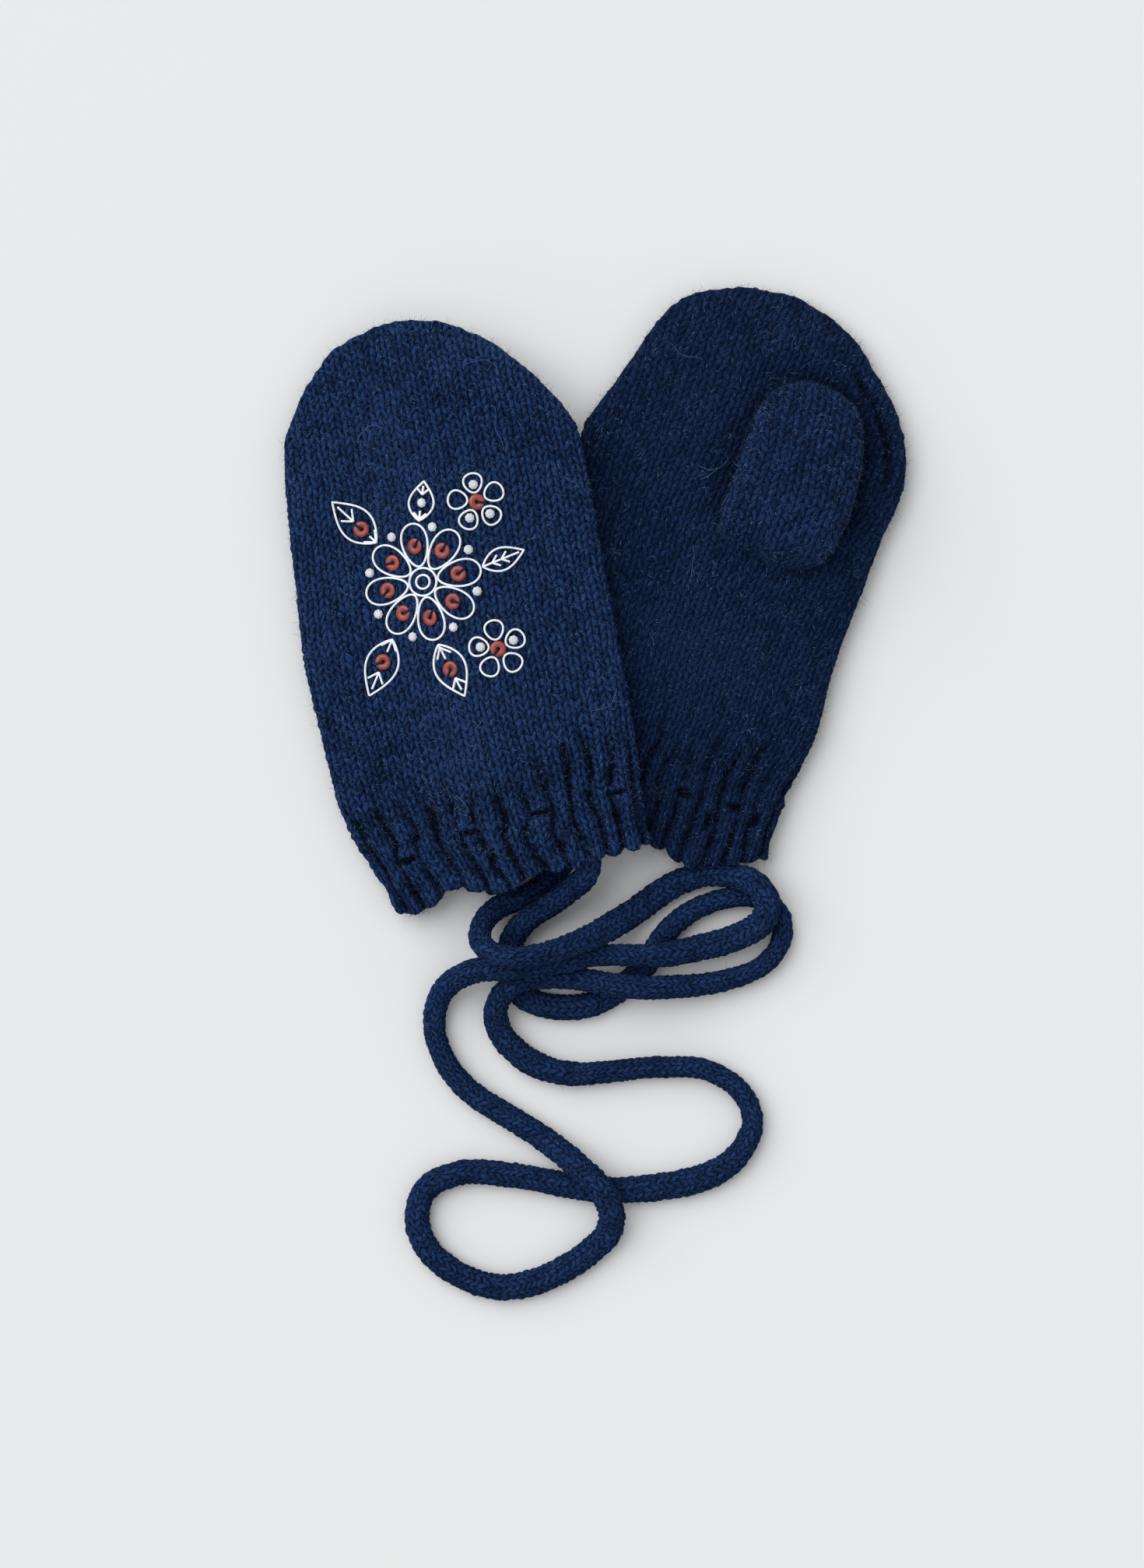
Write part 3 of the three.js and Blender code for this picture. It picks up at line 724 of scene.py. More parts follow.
def knit_material(name, colour, pale, dark, light, kind):
    """Wool in plain knit: each stitch's two legs, plies, a melange of paler fibres, and shade painted
    into its gaps and valleys.
    """
    graph = Graph(name)
    place = graph.place()
    fibres = graph.noise(place, scale=2300.0, detail=3.0, roughness=0.7)
    plies = graph.noise(place, scale=900.0, detail=2.0, roughness=0.6)
    patches = graph.noise(place, scale=32.0, detail=3.0, roughness=0.5)
    loose = graph.noise(place, scale=520.0, detail=3.0, roughness=0.65, output="Color")
    aside, ahead = (graph.math("SUBTRACT", part, 0.5) for part in graph.parts(loose)[:2])
    knit = graph.parts(graph.node("ShaderNodeUVMap", uv_map="knit").outputs["UV"])
    wale = graph.scaled(aside, LOOSE_ASIDE, knit[0])
    course = graph.scaled(ahead, LOOSE_AHEAD, knit[1])

    # The same stitch as in the relief
    folded = graph.math("ABSOLUTE", graph.math("SUBTRACT", graph.math("FRACT", wale), 0.5))
    lean = graph.times(folded, 2.0)
    side = graph.math("ABSOLUTE", graph.scaled(lean, 2.0, -1.0))
    leg = graph.math("SUBTRACT", 1.0, graph.math("POWER", side, kind["across"]))
    leg = graph.math("POWER", leg, LEG_ROUND)
    middle = graph.times(graph.math("LESS_THAN", lean, 0.5), LEG_MIDDLE)
    leg = graph.math("MAXIMUM", leg, middle)
    climb = graph.scaled(lean, -LEG_CLIMB, course)
    end = graph.math("ABSOLUTE", graph.scaled(graph.math("FRACT", climb), 2.0, -1.0))
    along = graph.scaled(graph.math("POWER", end, kind["along"]), kind["low"] - 1, 1.0)
    stitch = graph.times(leg, along)

    # Each leg's own tone, the painted shade of the valleys, and the tone of the patches and the
    # plies, each by its range and its least
    number = graph.node("ShaderNodeCombineXYZ")
    graph.feed(number.inputs[0], graph.math("FLOOR", graph.times(wale, 2.0)))
    graph.feed(number.inputs[1], graph.math("FLOOR", climb))
    own = graph.node("ShaderNodeTexWhiteNoise")
    graph.feed(own.inputs["Vector"], number.outputs[0])
    # Painted shade: the gaps between the legs are darker, and so are the relief's valleys, slits,
    # grooves and hollows
    relief = graph.node("ShaderNodeAttribute", attribute_name="relief").outputs["Fac"]
    open_air = graph.between(relief, *VALLEY_SHADE)
    shade_and_tone = graph.between(stitch, 0.12, 0.8)
    for value, span, least in (
        (own.outputs["Value"], 0.9, 0.55), (open_air, 1.2, 0.05), (patches, 0.6, 0.72),
        (plies, 1.4, 0.3),
    ):
        shade_and_tone = graph.times(shade_and_tone, graph.scaled(value, span, least))
    wool_colour = graph.mix(shade_and_tone, shade(colour, dark), shade(colour, light))
    specks = graph.times(graph.between(fibres, 0.55, 0.74), 0.62)
    specks = graph.times(specks, graph.scaled(shade_and_tone, by=0.8, plus=0.2))
    graph.set(
        Base_Color=graph.mix(specks, wool_colour, pale),
        Roughness=graph.scaled(plies, by=0.25, plus=0.72),
        Sheen_Weight=0.1, Sheen_Roughness=0.5, Sheen_Tint=opaque(pale), Specular_IOR_Level=0.04)
    height = graph.scaled(fibres, 0.25, graph.scaled(plies, 0.3, stitch))
    graph.bump(height, strength=1.0, distance=0.0005)
    return graph.material


def fibre_material(name, colour, pale):
    """Fine fibres that stand off the wool, a few of them paler."""
    graph = Graph(name)
    tone = graph.noise(graph.place(), scale=90.0, detail=2.0, roughness=0.5)
    graph.set(
        Base_Color=graph.mix(graph.between(tone, 0.5, 0.75), colour, pale),
        Roughness=graph.scaled(tone, by=0.3, plus=0.55), Specular_IOR_Level=0.2)
    graph.bump(tone, strength=0.2, distance=0.00005)
    return graph.material


def line_material(name, colour):
    """White raised print, matt, with a faint grain and worn thin places."""
    graph = Graph(name)
    grain = graph.noise(graph.place(), scale=1400.0, detail=3.0, roughness=0.6)
    worn = graph.noise(graph.place(), scale=260.0, detail=2.0, roughness=0.6)
    graph.set(
        Base_Color=graph.mix(graph.between(worn, 0.6, 0.85), colour, shade(colour, 0.85)),
        Roughness=graph.scaled(grain, by=0.2, plus=0.45))
    graph.bump(grain, strength=0.2, distance=0.00005)
    return graph.material


def sequin_material(name, colour):
    """Satin brick-red film, with small scuffs and an uneven tone."""
    graph = Graph(name)
    tone = graph.noise(graph.place(), scale=240.0, detail=2.0, roughness=0.5)
    scuffs = graph.noise(graph.place(), scale=1500.0, detail=4.0, roughness=0.65)
    darker, lighter = shade(colour, 0.72), shade(colour, 1.15)
    graph.set(
        Base_Color=graph.mix(graph.between(tone, 0.35, 0.7), darker, lighter),
        Roughness=graph.scaled(scuffs, by=0.3, plus=0.3),
        Metallic=0.25, Coat_Weight=0.3, Coat_Roughness=0.2)
    graph.bump(scuffs, strength=0.25, distance=0.00006)
    return graph.material


def stone_material(name, colour):
    """A clear cut stone over a silver back, with painted glints: each facet is light or dark by its
    own direction.
    """
    graph = Graph(name)
    # Painted reflection: a facet's colour follows its direction, not the light around it
    facet = graph.node("ShaderNodeNewGeometry").outputs["True Normal"]
    painted_glint = graph.between(graph.noise(facet, scale=9.0, detail=1.0, roughness=0.5), 0.44, 0.58)
    cloud = graph.noise(graph.place(), scale=900.0, detail=2.0, roughness=0.5)
    graph.set(
        Base_Color=graph.mix(painted_glint, shade(colour, 0.16), colour),
        Roughness=graph.scaled(cloud, by=0.12, plus=0.05),
        Metallic=0.5, Coat_Weight=0.5, Coat_Roughness=0.02)
    graph.bump(cloud, strength=0.06, distance=0.00005)
    return graph.material


def floor_material(name, colour):
    """A pale, almost even surface."""
    graph = Graph(name)
    grain = graph.noise(graph.place(), scale=60.0, detail=3.0, roughness=0.5)
    graph.set(
        Base_Color=graph.mix(grain, shade(colour, 0.99), colour),
        Roughness=graph.scaled(grain, by=0.1, plus=0.55), Specular_IOR_Level=0.2)
    graph.bump(grain, strength=0.02, distance=0.0002)
    return graph.material


def shared(name, make, *values):
    """A material that several pieces wear, made once."""
    return bpy.data.materials.get(name) or make(name, *values)


# The wool's tones: the whole colour, the gaps' share of it, which paints their shade, and the
# stitches' share, which paints their light, and how far the stitches stand out. The right mitten,
# which shows its palm, and the thumbs wear darker copies of the same wool, painted shade; the palm
# side is also more felted than the back.
TONES = {
    "navy_knit": {"tone": 0.95, "dark": 0.08, "light": 1.78, "crisp": 1.0, "kind": PLAIN},
    "navy_knit_palm": {"tone": 0.63, "dark": 0.3, "light": 1.4, "crisp": 0.5, "kind": PLAIN},
    "navy_knit_thumb": {"tone": 0.8, "dark": 0.2, "light": 1.5, "crisp": 0.7, "kind": PLAIN},
    "navy_knit_cord": {"tone": 0.95, "dark": 0.3, "light": 1.75, "crisp": 0.65, "kind": BRAIDED},
}


def wool(settings, tone):
    """The wool in one of its tones."""
    values = TONES[tone]
    colour, pale = (shade(base, values["tone"]) for base in (settings.wool, settings.pale))
    look = (values["dark"], values["light"], values["kind"])
    return shared(tone, knit_material, colour, pale, *look)


def ride(piece, slot, *nodes):
    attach(piece, "root")
    if nodes:
        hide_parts(*nodes)


# Knitted walls

# Where in a wale the mittens' side edges lie: on the crest of a stitch's leg
EDGE_WALE = 0.25

# How the wales and the courses wander
WALE_WARP = ((0.12, 13, 0), (0.09, 4, 1))
COURSE_WARP = ((0.25, 11, 2), (0.16, 4, 3))

# Columns to a wale, rows to a course, and how much closer together a tip's last rows stand
WALE_COLUMNS = 8
COURSE_ROWS = 5
TIP_CLOSER = 1.6


class Wall:
    """The upper and lower sheets of a pouch between two rows, on shared wales."""

    def __init__(self, pouch, wales, sparse):
        self.pouch = pouch
        self.wales = wales
        half_width = (pouch.side("right", pouch.fan) - pouch.side("left", pouch.fan)) / 2
        half_thick = pouch.side("thick", pouch.fan) / 2
        self.shares = even_shares(wales * WALE_COLUMNS, half_width, half_thick)
        self.sparse = sparse

    def across(self, y):
        """The wales' places across a row."""
        left, right = self.pouch.side("left", y), self.pouch.side("right", y)
        return left + (right - left) * self.shares[None, :]

    def body_rows(self, ys):
        y = np.repeat(ys[:, None], len(self.shares), 1)
        return self.across(ys[:, None]), y

    def tip_rows(self, count):
        """Rows that end on the outline, closer together where the tip turns down."""
        fan = self.pouch.fan
        x = self.across(np.array([[fan]]))
        share = 1 - (1 - np.linspace(0, 1, count + 1)[1:, None]) ** TIP_CLOSER
        y = fan + share * (self.pouch.reach(x) - fan)
        return np.repeat(x, count, 0), y

    def knit(self, x, y, course, seed):
        """Wales of the upper and the lower sheet, and their courses."""
        twist = self.pouch.twist * np.maximum(0, y - CUFF_LENGTH)
        aside = mixed(WALE_WARP, x, y, seed) - twist
        ahead = mixed(COURSE_WARP, x, y, seed)
        upper = np.linspace(0, self.wales, len(self.shares))[None, :] + EDGE_WALE
        return upper + aside, 2 * self.wales - upper + aside, y / course + ahead


def pouch_grid(wall, start, spacing, tip_count):
    """Places for a closed pouch's rows, and the number of the row where its tip begins."""
    body = np.linspace(start, wall.pouch.fan, round((wall.pouch.fan - start) / spacing) + 1)
    rows = zip(wall.body_rows(body), wall.tip_rows(tip_count))
    x, y = (np.vstack(pair) for pair in rows)
    return x, y, len(body) - 1


# Within this many millimetres of a tip's outline columns run together, so that small bumps
# take the place of stitches there
CROWDED = 1.6
RIM_BUMPS = ((0.5, 1.8, 15),)

# How many columns inside a side edge the direction out of it is measured from
EDGE_INSIDE = 4

# The inner wall gives way to hollows in the outer one that are deeper than this
LINING_SLACK = 0.6


class Shell:
    """A pouch's mesh: two sheets that share their edges, with an inner wall and a lip."""

    def __init__(self, wall, x, y, fan_row, shape, relief, course, seed, mirrored=False):
        self.skin = Skin()
        self.sparse = wall.sparse
        self.mirrored = mirrored
        pouch = wall.pouch
        upper, lower, courses = wall.knit(x, y, course, seed)
        few = slice(None, None, wall.sparse)
        top = self.skin.add(shape(x, y, pouch.top(x, y)))
        bottom = self.skin.add(shape(x[:, few], y[:, few], pouch.bottom(x[:, few], y[:, few])))
        closes = fan_row is not None
        if closes:
            top[fan_row:, 0] = top[fan_row, 0]
            top[fan_row:, -1] = top[fan_row, -1]
            bottom[-1] = top[-1, few]
        bottom[:, 0] = top[:, 0]
        bottom[:, -1] = top[:, -1]
        self.top, self.bottom = top, bottom
        self.last_lined = fan_row - 2 if closes else len(top) - 1
        self.upper = stack(upper, courses, courses)[..., :2]
        self.lower = stack(lower[:, few], courses[:, few], courses[:, few])[..., :2]
        self.cover(top, self.upper)
        self.cover(bottom, self.lower, flip=True)
        if closes:
            self.close_tip()
        self.base = self.skin.points.copy()
        self.normals = self.skin.normals()
        rows = slice(None, fan_row + 1 if closes else None)
        for edge, within in ((0, EDGE_INSIDE), (-1, -1 - EDGE_INSIDE)):
            out = self.base[top[rows, edge]] - self.base[top[rows, within]]
            out[:, 2] = 0
            self.normals[top[rows, edge]] = turned(out)
        height = np.zeros(len(self.base))
        height[bottom] = relief(x[:, few], y[:, few], lower[:, few], courses[:, few], False)
        height[top] = relief(x, y, upper, courses, True)
        if closes:
            crowded = 1 - ease(0, CROWDED, pouch.inside(x, y))
            crowded[y < pouch.fan - CROWDED] = 0
            height[top] += crowded * (mixed(RIM_BUMPS, x, y, seed) - height[top])
        self.skin.points = self.base + self.normals * height[:, None]
        self.skin.relief = height

    def cover(self, numbers, knit, flip=False):
        self.skin.cover(numbers, knit, flip != self.mirrored)

    def close_tip(self):
        """Fills the slivers between the upper sheet's last row and the lower one's."""
        last = self.top[-1]
        for offset in range(1, self.sparse):
            first = last[:-1:self.sparse]
            here = last[offset:][::self.sparse][:len(first)]
            after = last[offset + 1:][::self.sparse][:len(first)]
            knit = np.repeat(self.upper[-1, :-1:self.sparse][:, None, :], 3, 1)
            faces = np.stack([first, here, after], 1)
            self.skin.add_faces(faces if self.mirrored else faces[:, ::-1], knit)

    def line_inside(self, wall_thickness, rows, lip_steps, lip_reach):
        """Adds the inner wall and the lip that joins it to the outside."""
        picked = np.unique(np.linspace(0, self.last_lined, rows).round().astype(int))
        inner = {}
        relief = self.skin.relief
        for name, numbers in (("top", self.top), ("bottom", self.bottom)):
            chosen = numbers[picked]
            deepest = np.minimum.reduceat(relief[numbers], picked)
            deepest[1:] = np.minimum(deepest[1:], deepest[:-1])
            depth = wall_thickness - np.minimum(0, deepest + LINING_SLACK)
            grid = self.base[chosen] - depth[..., None] * self.normals[chosen]
            inner[name] = self.skin.add(grid)
        inner["bottom"][:, 0] = inner["top"][:, 0]
        inner["bottom"][:, -1] = inner["top"][:, -1]
        self.cover(inner["top"], self.upper[picked], flip=True)
        self.cover(inner["bottom"], self.lower[picked])
        self.add_lip(self.top[0], inner["top"][0], self.upper[0], lip_steps, lip_reach, False)
        self.add_lip(self.bottom[0], inner["bottom"][0], self.lower[0], lip_steps, lip_reach, True)

    def add_lip(self, outer, inner, knit, steps, reach, flip):
        """A half-round edge between an outer and an inner row, or with no steps a flat one."""
        start, end = self.skin.points[outer], self.skin.points[inner]
        middle, arm = (start + end) / 2, (start - end) / 2
        length = np.linalg.norm(arm, axis=1, keepdims=True) * reach
        rows = [inner]
        for step in range(steps, 0, -1):
            angle = math.pi * step / (steps + 1)
            out = np.array([[0.0, -1.0, 0.0]]) * length * math.sin(angle)
            rows.append(self.skin.add(middle + arm * math.cos(angle) + out))
        rows.append(outer)
        if not steps:
            rows = [self.skin.add(end), self.skin.add(start)]
        self.cover(np.stack(rows), np.repeat(knit[None], len(rows), 0), flip=flip)


# Settings

class KnitSettings(bpy.types.PropertyGroup):
    course: FloatProperty(
        name="Course", description="Height of one row of stitches", default=0.0027, unit="LENGTH")
    stitch_depth: FloatProperty(
        name="Stitch depth", description="Relief of each stitch", default=0.0008, unit="LENGTH")
    rib_depth: FloatProperty(
        name="Rib depth", description="Depth of the valleys between the cuff's ribs",
        default=0.0028, unit="LENGTH")
    hand_wales: IntProperty(
        name="Hand wales", description="Columns of stitches across a hand's upper side",
        default=26, min=8)
    thumb_wales: IntProperty(
        name="Thumb wales", description="Columns of stitches across a thumb's upper side",
        default=10, min=4)
    wool: FloatVectorProperty(
        name="Wool", description="Colour of the wool", default=(0.0074, 0.0222, 0.0745),
        subtype="COLOR", min=0, max=1)
    pale: FloatVectorProperty(
        name="Pale fibres", description="Colour of the paler fibres in the wool",
        default=(0.085, 0.15, 0.29), subtype="COLOR", min=0, max=1)


class CordSettings(bpy.types.PropertyGroup):
    width: FloatProperty(
        name="Width", description="Width of the cord as it lies flat", default=0.0078,
        unit="LENGTH")
    height: FloatProperty(
        name="Height", description="Height of the cord as it lies flat", default=0.0058,
        unit="LENGTH")
    length: FloatProperty(
        name="Length", description="Length of the cord between the cuffs, as shown",
        default=0.95, unit="LENGTH")
    course: FloatProperty(
        name="Course", description="Length of one stitch along the cord", default=0.0024,
        unit="LENGTH")
    wales: IntProperty(
        name="Wales", description="Columns of stitches around the cord", default=8, min=4)


class TrimSettings(bpy.types.PropertyGroup):
    line_width: FloatProperty(
        name="Line width", description="Width of the raised white lines", default=0.0007,
        unit="LENGTH")
    line_height: FloatProperty(
        name="Line height", description="Height of the raised white lines", default=0.0003,
        unit="LENGTH")
    white: FloatVectorProperty(
        name="Lines", description="Colour of the raised lines", default=(0.94, 0.975, 1.0),
        subtype="COLOR", min=0, max=1)
    red: FloatVectorProperty(
        name="Sequins", description="Colour of the sequins", default=(0.36, 0.062, 0.042),
        subtype="COLOR", min=0, max=1)
    clear: FloatVectorProperty(
        name="Stones", description="Colour of the stones over their silver backs",
        default=(0.9, 0.92, 0.95), subtype="COLOR", min=0, max=1)


class FibreSettings(bpy.types.PropertyGroup):
    per_piece: IntProperty(
        name="Fibres", description="Loose fibres on each hand", default=11000, min=0)
    width: FloatProperty(
        name="Width", description="Thickness of a fibre", default=0.0001, unit="LENGTH")
    length: FloatProperty(
        name="Length", description="Usual length of a fibre that stands off", default=0.0021,
        unit="LENGTH")


class StageSettings(bpy.types.PropertyGroup):
    floor: FloatVectorProperty(
        name="Floor", description="Colour of the pale surface", default=(0.85, 0.865, 0.863),
        subtype="COLOR", min=0, max=1)
    daylight: FloatProperty(
        name="Daylight", description="Strength of the light from all sides", default=0.54, min=0)
    lamp: FloatProperty(
        name="Lamp", description="Strength of the soft light from the upper left", default=1.9,
        min=0)
    lens: FloatProperty(
        name="Lens", description="Focal length in millimetres", default=85.0, min=1)
    view_height: FloatProperty(
        name="View height", description="Length of the surface that the picture's height shows",
        default=0.5035, unit="LENGTH")


SETTINGS = {
    "mitten_knit": KnitSettings,
    "mitten_cord": CordSettings,
    "mitten_trim": TrimSettings,
    "mitten_fibres": FibreSettings,
    "mitten_stage": StageSettings,
}


# The stage

# The camera's sensor, and the point in millimetres that it looks down on
SENSOR = 36.0
VIEW_CENTRE = (-7.5, -59.25, 8.0)

# Half the floor's width in metres, its lines each way, and how far below zero it lies
FLOOR_HALF = 1.6
FLOOR_LINES = 9
FLOOR_DROP = 0.02
LAMP_FROM = (-1.0, 0.75, 1.25)
LAMP_SPREAD = 65.0
DAYLIGHT_COLOUR = (0.98, 0.99, 1.0)


def add_floor(settings):
    """A wide square surface, cut into squares so that it is a real sheet."""
    line = np.linspace(-FLOOR_HALF, FLOOR_HALF, FLOOR_LINES) / MM
    x, y = np.meshgrid(line, line)
    skin = Skin()
    numbers = skin.add(stack(x, y, np.full(x.shape, -FLOOR_DROP)))
    skin.cover(numbers, np.stack([x, y], -1))
    skin.build("floor", HERE, [shared("pale_floor", floor_material, settings.floor)])


def add_camera(settings):
    data = bpy.data.cameras.new("camera")
    data.lens = settings.lens
    data.sensor_width = SENSOR
    camera = bpy.data.objects.new("camera", data)
    centre = np.array(VIEW_CENTRE) * MM
    away = settings.view_height * settings.lens / SENSOR
    camera.location = (centre[0], centre[1], centre[2] + away)
    bpy.context.scene.collection.objects.link(camera)
    bpy.context.scene.camera = camera


def add_lights(settings):
    world = bpy.data.worlds.new("daylight")
    world.use_nodes = True
    background = world.node_tree.nodes["Background"]
    background.inputs["Color"].default_value = opaque(DAYLIGHT_COLOUR)
    background.inputs["Strength"].default_value = settings.daylight
    bpy.context.scene.world = world
    data = bpy.data.lights.new("lamp", "SUN")
    data.angle = math.radians(LAMP_SPREAD)
    data.energy = settings.lamp
    lamp = bpy.data.objects.new("lamp", data)
    lamp.location = LAMP_FROM
    lamp.rotation_euler = lamp.location.to_track_quat("Z", "Y").to_euler()
    bpy.context.scene.collection.objects.link(lamp)


class MITTENS_OT_stage(bpy.types.Operator):
    """Adds the pale surface, the daylight, the soft lamp and the camera straight above"""
    bl_idname = "mittens.stage"
    bl_label = "Stage"

    def execute(self, context):
        settings = context.scene.mitten_stage
        add_floor(settings)
        add_camera(settings)
        add_lights(settings)
        view = context.scene.view_settings
        view.view_transform = "Standard"
        view.look = "None"
        return {"FINISHED"}


# The cord

# How finely the cord is cut: around each wale, along each course, between two points of its route,
# and how many rings lie between the points taken along its path
CORD_SIDES_PER_WALE = 6
CORD_RINGS_PER_COURSE = 4
CORD_STEPS = 24
CORD_PATH_STEP = 4

# Its wool, its squarish section and how that flattens along it, and how its wales and courses
# wander, with the millimetres that a wale counts for in that
CORD_TONE = "navy_knit_cord"
CORD_OVAL = 0.85
CORD_FLATNESS = ((0.17, 38, 62),)
CORD_ROLL = ((0.4, 42, 61),)
CORD_ASIDE = ((0.22, 6, 64),)
CORD_AHEAD = ((0.45, 5, 65),)
ASIDE_WALE = 4
AHEAD_WALE = 5
CORD_STITCH_SEED = 63

# The lowest that wool lies above the surface
ON_FLOOR = 0.02


def cord_line():
    """The cord's middle line, as points close together along a smooth curve."""
    route = np.array(CORD_ROUTE)
    ends = np.vstack([2 * route[0] - route[1], route, 2 * route[-1] - route[-2]])
    knots = np.concatenate([[0], np.cumsum(np.linalg.norm(np.diff(ends, axis=0), axis=1) ** 0.5)])
    pieces = []
    for i in range(1, len(ends) - 2):
        t = np.linspace(knots[i], knots[i + 1], CORD_STEPS, endpoint=False)[:, None]
        k0, k1, k2, k3 = knots[i - 1:i + 3]
        p0, p1, p2, p3 = ends[i - 1:i + 3]
        a = p0 * (k1 - t) / (k1 - k0) + p1 * (t - k0) / (k1 - k0)
        b = p1 * (k2 - t) / (k2 - k1) + p2 * (t - k1) / (k2 - k1)
        c = p2 * (k3 - t) / (k3 - k2) + p3 * (t - k2) / (k3 - k2)
        d = a * (k2 - t) / (k2 - k0) + b * (t - k0) / (k2 - k0)
        e = b * (k3 - t) / (k3 - k1) + c * (t - k1) / (k3 - k1)
        pieces.append(d * (k2 - t) / (k2 - k1) + e * (t - k1) / (k2 - k1))
    line = np.vstack([*pieces, route[-1:]])
    line[:, 2] = np.maximum(line[:, 2], CORD_FLOOR)
    return line


def cord_surface(line, along, settings, knit):
    """Points around the cord's middle line, with their wales and courses."""
    side = turned(np.cross(turned(np.gradient(line, axis=0)), np.array([0.0, 0.0, 1.0])))
    up = np.cross(side, turned(np.gradient(line, axis=0)))
    wale = np.linspace(0, settings.wales, settings.wales * CORD_SIDES_PER_WALE + 1)[None, :]
    flat = 1 + mixed(CORD_FLATNESS, along, along * 0)[:, None]
    half_height = settings.height / MM / 2
    across, rise = oval(2 * np.pi * wale / settings.wales, CORD_OVAL)
    across = across * (settings.width / MM / 2 * flat)
    rise = rise * (half_height * (2 - flat))
    roll = mixed(CORD_ROLL, along, along * 0)[:, None]
    along = along[:, None]
    wale_at = wale + roll + mixed(CORD_ASIDE, ASIDE_WALE * wale, along)
    course = along * MM / settings.course + mixed(CORD_AHEAD, AHEAD_WALE * wale, along)
    stitch = stitches(wale_at, course, BRAIDED) * uneven(wale_at, course, CORD_STITCH_SEED)
    depth = TONES[CORD_TONE]["crisp"] * knit.stitch_depth / MM
    outward = 1 + depth * (stitch - MEAN_STITCH) / half_height
    grid = (
        line[:, None, :]
        + side[:, None, :] * (across * outward)[..., None]
        + up[:, None, :] * (rise * outward)[..., None]
    )
    grid[..., 2] = np.maximum(grid[..., 2], ON_FLOOR)
    return grid, np.stack([wale_at, course], -1)


class MITTENS_OT_cord(bpy.types.Operator):
    """Knits the long flat cord that joins the two cuffs"""
    bl_idname = "mittens.cord"
    bl_label = "Cord"

    def execute(self, context):
        settings = context.scene.mitten_cord
        knit = context.scene.mitten_knit
        spacing = settings.course / MM / CORD_RINGS_PER_COURSE
        line, along = spread_evenly(cord_line(), spacing)
        grid, coordinates = cord_surface(line, along, settings, knit)
        skin = Skin()
        numbers = skin.tube(grid, coordinates)
        skin.cap(numbers, line, coordinates)
        cord = skin.build("cord_knit", HERE, [wool(knit, CORD_TONE)])
        ride(cord, "navy_wool", "cord")
        tuple(np.array(CORD_ROUTE[1]) * MM)
        [tuple(point) for point in line[::CORD_PATH_STEP] * MM]
        return {"FINISHED"}


# The cuffs, the hands and the thumbs

# The ribs: how they wander, between which heights they run out into the hand and how much that
# differs, and how deep each one's valley is, which also changes slowly along it
RIB_WANDER = ((0.5, 11, 5), (0.17, 3.6, 9))
RIB_FADE = (21.0, 42.0)
RIB_REACH = ((10, 1.7, 6),)
RIB_SHARE = 0.9
RIB_OWN = ((0.28, 1.3, 10),)
RIB_OWN_LENGTH = 9

# Soft hollows of three sizes, the lower sides' and the thumbs' share of them, and how far
# beyond the trimming they set in
DENTS = ((0.6, 34, 7), (0.4, 14, 8), (0.16, 5.5, 11))
LOWER_DENTS = 0.3
THUMB_DENTS = 0.5
TRIM_MARGIN = 12

# The hem: the lumps of its stitches, its fuller row with the groove above, and its scallops
LUMPS = ((0.45, 2.4, 12), (0.35, 5, 13))
HEM_ROW = 3.2
HEM_RISE = 0.55
HEM_GROOVE = 0.5
HEM_GROOVE_AT = 1.6 * HEM_ROW
SCALLOP = 1.2
SCALLOP_OWN = ((0.8, 1.7, 14),)
SCALLOP_REACH = 7
VALLEY_STITCH = 0.5

# For each kind of piece: how many of the upper sheet's columns go to one of the lower sheet's,
# the rows of its tip, and its lining's wall, rows, and steps and reach of the lip
CUFF_SPARSE = 2
HAND_SPARSE = 4
THUMB_SPARSE = 2
HAND_TIP_ROWS = 108
THUMB_TIP_ROWS = 44
CUFF_LINING = (CUFF_WALL, 12, 3, 0.8)
HAND_LINING = (HAND_WALL, 36, 0, 0)
THUMB_LINING = (HAND_WALL, 8, 0, 0)

# How far a thumb's turned root reaches into the palm's wall, and the place in a thumb's outline
# from where it lies flat
ROOT_SUNK = 0.9
ROOT_END = 2


def knit_height(wale, course, knit, tone, seed):
    """Relief of the stitches, mostly just below the smooth form."""
    stitch = stitches(wale, course, TONES[tone]["kind"]) * uneven(wale, course, seed + 4)
    return TONES[tone]["crisp"] * knit.stitch_depth / MM * (stitch - MEAN_STITCH)


def rib_height(x, y, wale, knit, seed):
    """The ribs' valleys, which run out into the hand at uneven heights."""
    wander = wale + mixed(RIB_WANDER, x, y, seed)
    fade = 1 - ease(*RIB_FADE, y + mixed(RIB_REACH, wale, wale * 0, seed))
    own = RIB_SHARE + mixed(RIB_OWN, wale, y / RIB_OWN_LENGTH, seed)
    return -knit.rib_depth / MM * (1 - ribs(wander)) * fade * own


def knobs(x, y, wale, seed):
    """The lumps of the ribs' own stitches, and the fuller row that ends the hem."""
    row = 1 - ease(0, HEM_ROW, np.abs(y - HEM_ROW / 2))
    hem = HEM_RISE * row - HEM_GROOVE * bell(y - HEM_GROOVE_AT)
    return mixed(LUMPS, x, y, seed) + hem * ribs(wale)


def hem_rise(hem, x, y):
    return smooth(hem["x"], hem["rise"], x) * (1 - y / CUFF_LENGTH)


def with_slits(slits, height, x, y):
    """The relief with the slits cut in, each between puckered rims that fill the ribs' valley."""
    near_across, near_along = SLIT_SMOOTH_REACH
    for sx, sy, wide, high in zip(*(slits[name] for name in SLIT)):
        across, along = (x - sx) / wide, (y - sy) / high
        near = np.exp(-(across / near_across) ** 2 - (along / near_along) ** 2)
        rim = np.exp(-across ** 2 - (np.abs(along) - SLIT_RIM) ** 2)
        height = height * (1 - SLIT_SMOOTHED * near)
        height = height - SLIT_DEPTH * bell(across ** 2 + along ** 2) + SLIT_PUCKER * rim
    return height


